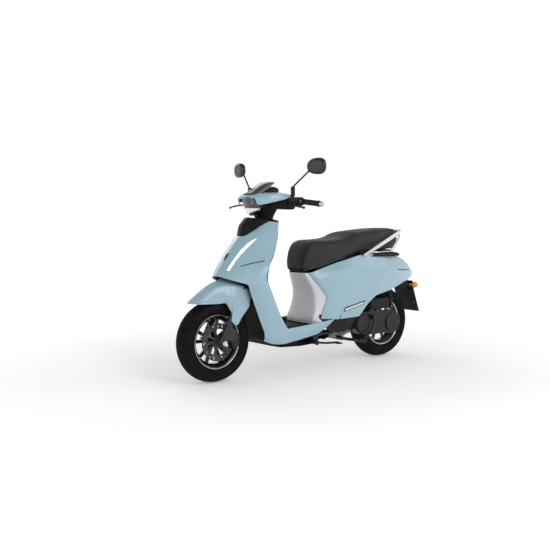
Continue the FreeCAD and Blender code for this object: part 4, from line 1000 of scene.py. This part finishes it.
def seat_point(x, u, side, out=0.0):
    low, high, half, foot = soft_table(SEAT, x)
    share_y, share_z, on_foot = soft_table(RING, u)
    wide = lerp(half, foot, on_foot if u < 0.3 else 0)
    if u > 0.17:
        wide = lerp(foot, half, smooth(0.0, 0.5, share_z))
    y, z = share_y * wide, low + share_z * (high - low)
    puff = 3.2 * math.sin(math.pi * min(max((u - 0.17) / 0.41, 0), 1)) * smooth(118, 60, x)
    dish = -5.0 * math.exp(-((x + 110) / 90) ** 2) * smooth(0.6, 1.0, u)
    seam = groove(u - TOP_SEAM, 0.009, 2.6) * smooth(112, 90, x) * smooth(-748, -715, x)
    step = -296 - 34 * (y / 130) ** 2
    seam += groove(x - step, 5.0, 3.2) * smooth(0.56, 0.66, u)
    rear = -520 - 26 * (y / 120) ** 2
    seam += groove(x - rear, 5.0, 2.6) * smooth(0.56, 0.66, u)
    nose = 74 - 30 * max(share_z, 0)
    seam += groove(x - nose, 4.0, 2.2) * smooth(0.16, 0.24, u) * (1 - smooth(0.52, 0.58, u))
    middle = Vector((0, 0, lerp(low, high, 0.45)))
    away = Vector((0, y, z)) - middle
    away = away.normalized() if away.length > 1 else Vector((0, 0, 1))
    p = Vector((x, y, z)) + away * (puff - seam + out)
    p.z += dish
    return Vector((p.x, p.y * side, p.z))


def make_seat():
    loops = []
    around = 56
    count = 250
    for i in range(count + 1):
        t = i / count
        x = lerp(113, -750, t)
        loop = [seat_point(x, j / around, 1) for j in range(around + 1)]
        loop += [seat_point(x, j / around, -1) for j in range(around - 1, 0, -1)]
        loops.append(loop)
    ob = loft("seat_pad", loops, "leather", "seat", stands_for=("seat_cushion",))
    subdivided(ob, 1)
    return ob


make_seat()


def make_seat_seams():
    for label, side in SIDES:
        line = [seat_point(lerp(96, -728, i / 60), TOP_SEAM, side, 1.6) for i in range(61)]
        wire(f"seat_piping_{label}", line, 1.7, "black", "seat")
        work = bmesh.new()
        for row in (-0.012, 0.012):
            for i in range(150):
                x = lerp(90, -720, (i + 0.5) / 150)
                a = seat_point(x + 1.7, TOP_SEAM + row, side, 1.0)
                b = seat_point(x - 1.7, TOP_SEAM + row, side, 1.0)
                way = (b - a).normalized()
                rows = []
                for centre in (a, (a + b) / 2, b):
                    grow = 0.75 if centre is not a and centre is not b else 0.35
                    across = way.orthogonal().normalized()
                    other = way.cross(across)
                    rows.append([work.verts.new((centre + (across * math.cos(k * 1.0472) + other
                                 * math.sin(k * 1.0472)) * grow) * MM) for k in range(6)])
                for low, high in zip(rows, rows[1:]):
                    for k in range(6):
                        work.faces.new((low[k], low[(k + 1) % 6], high[(k + 1) % 6], high[k]))
                work.faces.new(rows[0][::-1])
                work.faces.new(rows[-1])
        mesh = bpy.data.meshes.new(f"seat_stitches_{label}")
        bmesh.ops.recalc_face_normals(work, faces=work.faces)
        work.to_mesh(mesh)
        work.free()
        mesh.materials.append(MATS["mat"])
        ob = bpy.data.objects.new(mesh.name, mesh)
        bpy.context.scene.collection.objects.link(ob)
        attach(ob, "seat")


make_seat_seams()


def make_seat_trim():
    """The dark strip below the seat's edge."""
    for label, side in SIDES:
        verts = []
        for i in range(41):
            x = lerp(104, -330, i / 40)
            low, _, _, foot = soft_table(SEAT, x)
            for j in range(4):
                drop = [1.0, -5, -11, -14][j]
                verts.append((x - (4 if x > 90 else 0), side * (foot - 4 - 1.5 * j), low + drop))
        ob = piece(f"seat_trim_{label}", verts, grid_faces(41, 4), "gloss", "seat")
        outward_sheet(ob)
        skin(ob, 2.4, 0.5)


make_seat_trim()


# ---------------------------------------------------------------- grab rail
def sweep(name, points, size, mat, body, power=3.2, steps=64, sections=24, up=Vector((0, 0, 1)), **extra):
    """Carries a rounded rectangle along a smooth line. size(t) is its width and height."""
    rows = [(k, *p) for k, p in enumerate(points)]
    line = [Vector(soft_table(rows, (len(points) - 1) * i / steps)) for i in range(steps + 1)]
    loops = []
    for i, p in enumerate(line):
        way = (line[min(i + 1, steps)] - line[max(i - 1, 0)]).normalized()
        side = way.cross(up).normalized()
        rise = side.cross(way)
        wide, tall = size(i / steps)
        loops.append([p + side * (wide / 2 * c) + rise * (tall / 2 * s) for c, s in oval(sections, 2 / power)])
    return loft(name, loops, mat, body, **extra)


RAIL = [(-350, 149, 700), (-455, 151, 744), (-560, 147, 787), (-640, 140, 818), (-704, 126, 838), (-742, 96, 845),
        (-757, 50, 846), (-760, 0, 846)]
RAIL_FOOT = [(-738, 100, 838), (-716, 118, 808), (-690, 124, 775), (-655, 124, 736), (-628, 122, 708)]


def make_rail():
    whole = RAIL + mirrored_points(RAIL[-2::-1], -1)
    sweep("rail_hoop", whole, lambda t: (15, lerp(17, 26, smooth(0, 0.1, min(t, 1 - t)))), "silver", "chassis",
          steps=150, sections=32, stands_for=("grab_rail",))
    for label, side in SIDES:
        sweep(f"rail_foot_{label}", mirrored_points(RAIL_FOOT, side), lambda t: (12, 24), "silver", "chassis")
        base = [(-420, 688), (-480, 702), (-600, 713), (-676, 708), (-704, 690), (-690, 682), (-560, 684)]
        prism(f"rail_base_{label}", rounded_outline(base, 10), side * 104, side * 138, "black", "chassis", 4.0)


make_rail()


# ---------------------------------------------------------------- headset: cowls, headlamp, screen
COWL_LOW = [(0.0, 1058), (0.36, 1058), (0.41, 1050), (0.43, 1020), (0.54, 1019), (0.70, 1026), (0.84, 1038),
            (0.94, 1051), (1.0, 1062)]
COWL = [  # height, front x, half width
    (1010, 465, 196), (1030, 478, 196), (1050, 484, 196), (1066, 479, 196), (1078, 467, 196), (1086, 451, 196),
]


def on_cowl(t, z):
    front, half = soft_table(COWL, z)
    x = front - (front - 300) * abs(t) ** 4.2
    return Vector((x, half * t, z))


def make_cowl():
    verts = []
    cols, low_rows, top_rows = 56, 12, 9
    for i in range(cols + 1):
        t = i / cols
        low = table(COWL_LOW, t)[0]
        crest = lerp(1082, 1069, t**3)
        for j in range(low_rows + 1):
            verts.append(on_cowl(t, lerp(low, crest, j / low_rows)))
        edge = on_cowl(t, crest)
        rear = Vector((290, edge.y * 0.985, lerp(1098, 1074, t**2)))
        for j in range(1, top_rows + 1):
            u = j / top_rows
            p = edge.lerp(rear, u)
            p.z = lerp(edge.z, rear.z, math.sin(math.pi / 2 * u))
            verts.append(p)
    ob = piece("headset_cowl", verts, grid_faces(cols + 1, low_rows + top_rows + 1), "paint", "steering",
               stands_for=("headset_cover_front",))
    mirror(outward_sheet(ob))
    return skin(ob, 3.0, 0.9)


make_cowl()


def make_lower_cowl():
    """The black lower cowl: a collar round the stem, opening into the wings under the painted cowl."""
    collar = [(929, 398, 306, 53), (950, 402, 301, 58), (972, 412, 293, 70), (990, 421, 287, 84),
              (1004, 428, 280, 104), (1016, 430, 272, 128)]
    loops = []
    for i in range(19):
        z = lerp(929, 1016, i / 18)
        front, rear, half = soft_table(collar, z)
        mid, deep = (front + rear) / 2, (front - rear) / 2
        loops.append([(mid + deep * c, half * s, z) for c, s in oval(64, 0.8)])
    ob = loft("headset_collar", loops, "brown", "steering", caps=False, stands_for=("headset_cover_rear",))
    skin(ob, 3.0, 0.6)
    loops = []
    for i in range(49):
        t = lerp(-1, 1, i / 48)
        a = abs(t)
        mid_x, deep = lerp(348, 292, a**1.6), lerp(86, 34, a**1.5)
        mid_z, tall = lerp(1030, 1026, a), lerp(33, 36, a)
        shrink = 1 - 0.35 * smooth(0.95, 1.0, a)
        loop = []
        for c, s in oval(40, 0.62):
            x, z = mid_x + deep * shrink * c, mid_z + tall * shrink * s
            limit = on_cowl(t, min(max(z, 1012), 1086)).x - 5
            if abs(t) < 0.47:
                limit = min(limit, 372)
            loop.append((min(x, limit), 189 * t, z))
        loops.append(loop)
    loft("headset_wings", loops, "brown", "steering")


make_lower_cowl()

LAMP = [  # height, front x, half width
    (958, 450, 30), (966, 460, 46), (978, 468, 57), (992, 474, 66), (1010, 479, 73), (1035, 483, 78),
    (1052, 482, 79), (1062, 478, 78),
]


def on_lamp(t, z, inside=0.0):
    front, half = soft_table(LAMP, z)
    x = front - 32 * abs(t) ** 3.2
    return Vector((x - inside, (half - inside * 0.12) * t, z))


def lamp_sheet(name, low, high, inside, mat, thick=1.6, ripple=0.0, across=48, up=20):
    verts = []
    for i in range(across + 1):
        t = lerp(-1, 1, i / across)
        for j in range(up + 1):
            z = lerp(low, high, j / up)
            p = on_lamp(t, z, inside)
            if ripple:
                p.x += ripple * math.cos(t * 26) * math.sin(j / up * math.pi)
            verts.append(p)
    ob = piece(name, verts, grid_faces(across + 1, up + 1), mat, "steering")
    return skin(facing(ob, (1, 0, 0)), thick, 0.4)


def make_headlamp():
    lens = lamp_sheet("headlamp_glass", 958, 1062, 0.0, "clear", 2.0)
    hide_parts("headlamp_lens")
    lamp_sheet("headlamp_bowl", 961, 1003, 9.0, "chrome", 1.6, 2.2)
    lamp_sheet("headlamp_upper", 1002, 1060, 24.0, "gloss", 1.6)
    lamp_sheet("headlamp_shelf", 999, 1004, 6.0, "gloss", 12)
    rim = [on_lamp(lerp(-1, 1, i / 40), 1062.5, -1.5) for i in range(41)]
    rim = [on_lamp(-1, z, -1.0) for z in (1010, 1040)] + rim + [on_lamp(1, z, -1.0) for z in (1040, 1010)]
    wire("headlamp_rim", rim, 3.2, "gloss", "steering")
    lower = [on_lamp(lerp(-1, 1, i / 30), 957, -0.5) for i in range(31)]
    sides = [on_lamp(-1, z, -0.5) for z in (1005, 990, 975)]
    wire("headlamp_lower_rim", sides + lower + mirrored_points(sides[::-1], -1), 2.2, "gloss", "steering")
    for label, y in (("left", 30), ("right", -30)):
        start = (on_lamp(y / 86, 1030, 27).x, y, 1031)
        profile = [(23, 0), (24, 6), (22.5, 13), (21, 14), (20, 12), (12, 2), (0.1, 0)]
        turned_along(f"headlamp_bowl_{label}", profile, start, (1, 0, 0), "dark_cast", "steering", 48, False)
        bulb = [(0.1, 15), (6, 14.4), (10, 12), (12.5, 8), (13, 4), (12, 2)]
        turned_along(f"headlamp_optic_{label}", bulb, start, (1, 0, 0), "clear", "steering", 40, False)


make_headlamp()


def make_screen_pod():
    """The small dark screen over the dials, with a grey rail down each side, and the dial pod behind it."""
    line = [(472, 1087), (441, 1102), (401, 1124), (361, 1145), (329, 1157)]
    rows = [(k, *p) for k, p in enumerate(line)]
    verts = []
    for i in range(25):
        x, z = soft_table(rows, 4 * i / 24)
        half = lerp(61, 57, i / 24)
        for j in range(21):
            t = lerp(-1, 1, j / 20)
            verts.append((x - 9 * t * t, half * t, z - 4 * t * t))
    ob = piece("screen", verts, grid_faces(25, 21), "smoke", "steering", stands_for=("dash_visor",))
    skin(facing(ob, (0, 0, 1)), 3.0, 0.8)
    for label, side in SIDES:
        outline = [(466, 1081), (433, 1097), (393, 1120), (353, 1142), (321, 1155), (318, 1150), (338, 1135),
                   (364, 1118), (393, 1101), (426, 1085)]
        prism(f"screen_side_{label}", rounded_outline(outline, 4), side * 56.5, side * 61.5, "mat", "steering", 1.4)
    loops = []
    for i in range(13):
        t = i / 12
        x = lerp(404, 270, t)
        half = lerp(40, 52, smooth(0, 0.5, t)) * (1 - 0.2 * smooth(0.85, 1, t))
        top = lerp(1092, 1128, smooth(0, 0.75, t)) - 8 * smooth(0.8, 1, t)
        mid, tall = (top + 1076) / 2, (top - 1076) / 2
        loops.append([(x, half * c, mid + tall * s) for c, s in oval(36, 0.55)])
    rounded(loft("dial_pod", loops, "black", "steering"), 2.0, 50)
    outline = [(-34, 1086), (34, 1086), (38, 1110), (28, 1117), (-28, 1117), (-38, 1110)]
    prism("dial_glass", rounded_outline(outline, 5), 266.5, 271, "screen", "steering", 1.0, plane="YZ")


make_screen_pod()


# ---------------------------------------------------------------- tyres and wheel trim
def make_tyre_piece(name, centre, body, node, count=34):
    half = [(152.0, 36), (153.5, 41), (157, 45.5), (163, 49.5), (170, 53), (177, 55.6), (179, 56.9), (181, 56.7),
            (188, 58.2), (196, 59), (204, 58.9), (210, 58), (212, 58.1), (214, 56.8), (219, 53)]
    crown = []
    y = 50.0
    while y > 0.5:
        crown.append((219 + 17.5 * (1 - (y / 53) ** 2.1), y))
        y -= 2.5
    side = half + crown
    profile = [(r, y) for r, y in side] + [(236.5, 0)] + [(r, -y) for r, y in side[::-1]]
    steps = 720
    loops_count = len(profile)
    verts = []
    for r, y in profile:
        for i in range(steps):
            turns = i / steps
            depth = 0.0
            if abs(y) <= 52 and r > 215:
                lean = 0.85 * (abs(y) / 52) ** 0.9 + (0.5 if y < 0 else 0)
                phase = (turns * count + lean) % 1
                gap = abs(phase - 0.5) * 2 * math.pi * 236 / count
                if 9 < abs(y) < 50:
                    depth = 3.4 * (1 - smooth(1.6, 3.4, gap))
                second = (turns * count * 2 + 1.7 * lean + 0.3) % 1
                gap = abs(second - 0.5) * math.pi * 236 / count
                if 30 < abs(y) < 51:
                    depth = max(depth, 2.2 * (1 - smooth(0.9, 2.2, gap)))
                wave = abs(y - 3.2 * math.sin(turns * count * 2 * math.pi))
                depth = max(depth, 3.2 * (1 - smooth(1.0, 2.6, wave)))
            a = 2 * math.pi * turns
            verts.append((centre.x + (r - depth) * math.cos(a), centre.y + y, centre.z + (r - depth) * math.sin(a)))
    ob = piece(name, verts, grid_faces(loops_count, steps, True), "tyre", body, stands_for=(node,))
    return outward(ob)


make_tyre_piece("tyre_front", FRONT_AXLE, "front_wheel", "front_tyre")
make_tyre_piece("tyre_rear", REAR_AXLE, "rear_wheel", "rear_tyre")


def make_wheel_trim(where, centre, body):
    """A machined ring on the rim's edge each side, and the valve."""
    for label, side in SIDES:
        profile = [(151.5, 41.5), (153.5, 44.0), (155.6, 44.6), (157.2, 43.6), (157.0, 41.0)]
        profile = [(r, side * y) for r, y in profile]
        turned(f"rim_ring_{where}_{label}", profile, centre, "steel", body, 160)
    start = centre + Vector((math.cos(2.2) * 140, 6, math.sin(2.2) * 140))
    way = Vector((-math.cos(2.2), 0.35, -math.sin(2.2)))
    turned_along(f"valve_{where}", [(4, -8), (4, 8), (2.8, 9), (2.8, 24), (3.4, 25), (3.4, 33), (2.0, 34)], start, way,
                 "black", body, 20)


make_wheel_trim("front", FRONT_AXLE, "front_wheel")
make_wheel_trim("rear", REAR_AXLE, "rear_wheel")


# ---------------------------------------------------------------- inner shield, lock and hook
INNER = [  # height, x on the middle plane, x and y of its edge
    (292, 326, 350, 150), (330, 328, 358, 158), (393, 332, 384, 171), (450, 340, 410, 180), (505, 350, 436, 187),
    (586, 372, 481, 199), (670, 366, 469, 201), (718, 352, 437, 192), (781, 333, 401, 176), (845, 316, 374, 159),
    (880, 308, 364, 149), (926, 302, 353, 137),
]


def on_inner(t, z):
    middle, edge_x, edge_y = soft_table(INNER, z)
    rib = 3 * math.exp(-((abs(t) - 0.55) / 0.08) ** 2) * smooth(330, 400, z) * (1 - smooth(840, 900, z))
    pocket = 9 * math.exp(-(((t - 0.42) / 0.2) ** 4)) * smooth(600, 640, z) * (1 - smooth(790, 815, z))
    return Vector((middle + (edge_x - middle) * abs(t) ** 1.5 - rib - pocket, edge_y * t, z))


def make_inner():
    verts = []
    for i in range(61):
        t = lerp(-1, 1, i / 60)
        for j in range(81):
            z = lerp(292, 926, j / 80)
            p = on_inner(t, z)
            collar = math.hypot(p.x - 350, p.y)
            if z > 905 and collar < 66:
                p.z -= (z - 905) * smooth(66, 50, collar)
            verts.append(p)
    ob = piece("inner_liner", verts, grid_faces(61, 81), "black", "chassis", stands_for=("inner_shield",))
    skin(facing(ob, (-1, 0, 0)), 3.0, 0.8)
    base = on_inner(0, 556)
    hook = [(base.x + 4, 0, 560), (base.x - 10, 0, 556), (base.x - 28, 0, 551), (base.x - 37, 0, 556),
            (base.x - 38, 0, 568)]
    wire("bag_hook", hook, 4.5, "gloss", "chassis")
    turned_along("bag_hook_foot", [(13, 0), (13, 3), (10, 5.5), (4, 6)], (base.x + 1, 0, 560), (-1, 0, 0.1), "black",
                 "chassis", 40)
    profile = [(22, 0), (22, 9), (20.5, 11), (18, 12), (17.4, 30), (16.4, 32), (13, 32.4), (12, 31), (10.2, 31),
               (10.2, 12)]
    turned_along("lock_surround", profile, LOCK - LOCK_OUT * 6, LOCK_OUT, "gloss", "chassis", 64, False)


make_inner()


# ---------------------------------------------------------------- black covers under the body
def make_side_skirts():
    """The black cover between the sill and the engine on each side."""
    edge = [(-14, 282), (-62, 315), (-130, 316), (-262, 316), (-258, 290), (-236, 246), (-196, 228), (-118, 222),
            (-44, 236)]
    outline = rounded_outline(edge, 8)
    for label, side in SIDES:
        ob = panel(f"side_skirt_{label}", outline,
                   lambda x, z: side * (158 + 0.10 * (z - 316) + 4 * math.sin((x + 14) / 40)), "black", "chassis", 10)
        skin(ob, 3.0, 0.8)


make_side_skirts()


def make_mirror_boots():
    """A rubber boot over the foot of each mirror's stem."""
    for label, side in SIDES:
        profile = [(13.5, 0), (14, 4), (12.5, 8), (12.2, 40), (12.8, 44), (11.5, 52), (7, 55)]
        foot = (MIRROR_FOOT.x, MIRROR_FOOT.y * side, MIRROR_FOOT.z)
        turned_along(f"mirror_boot_{label}", profile, foot, (0, 0, 1), "black", f"mirror_stem_{label}", 48)


make_mirror_boots()


# ---------------------------------------------------------------- fork legs and shock springs
def make_fork_legs():
    """The lower fork legs, short enough to stay inside the mudguard at full travel."""
    up = Vector((-math.sin(RAKE), 0, math.cos(RAKE)))
    for label, side in SIDES:
        foot = FRONT_AXLE + Vector((0, side * FORK_Y, 0))
        profile = [(15.4, 6), (20, 12), (20, 170), (21.5, 173), (21.5, 186), (19, 190), (15.4, 191)]
        turned_along(f"fork_leg_{label}", profile, foot, up, "gloss", "fork_lower", 48, False,
                     stands_for=("fork_sliders",))
        lug = [(7.6, -14), (20.5, -14), (22, -12), (22, 12), (20.5, 14), (7.6, 14)]
        turned_along(f"fork_lug_{label}", lug, foot, (0, 1, 0), "gloss", "fork_lower", 48, False)
    outline = [(700, 250), (690, 300), (664, 330), (622, 290), (620, 250), (650, 238)]
    prism("caliper_mount", rounded_outline(outline, 6), 84.2, 91, "gloss", "fork_lower", 1.0)


make_fork_legs()


def make_springs():
    """The coil spring of each shock absorber, one fixed mesh riding on the chassis."""
    along = (SHOCK_LOW - SHOCK_TOP).normalized()
    across = Vector((0, 1, 0))
    other = along.cross(across)
    first, last, travel, turns, steps = 26.5, 205.5, 77.9, 8, 240
    for label, side in SIDES:
        top = SHOCK_TOP + across * (side * SHOCK_Y)
        loops = []
        for i in range(steps + 1):
            a = 2 * math.pi * turns * i / steps
            away = across * math.cos(a) + other * math.sin(a)
            middle = top + along * lerp(first + 4, last - 4, i / steps) + away * 19.5
            loops.append([middle + (away * c + along * s) * 3.6 for c, s in oval(12)])
        ob = loft(f"shock_spring_{label}", loops, "enamel", "chassis", stands_for=("shock_springs",))
        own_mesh(ob)


make_springs()
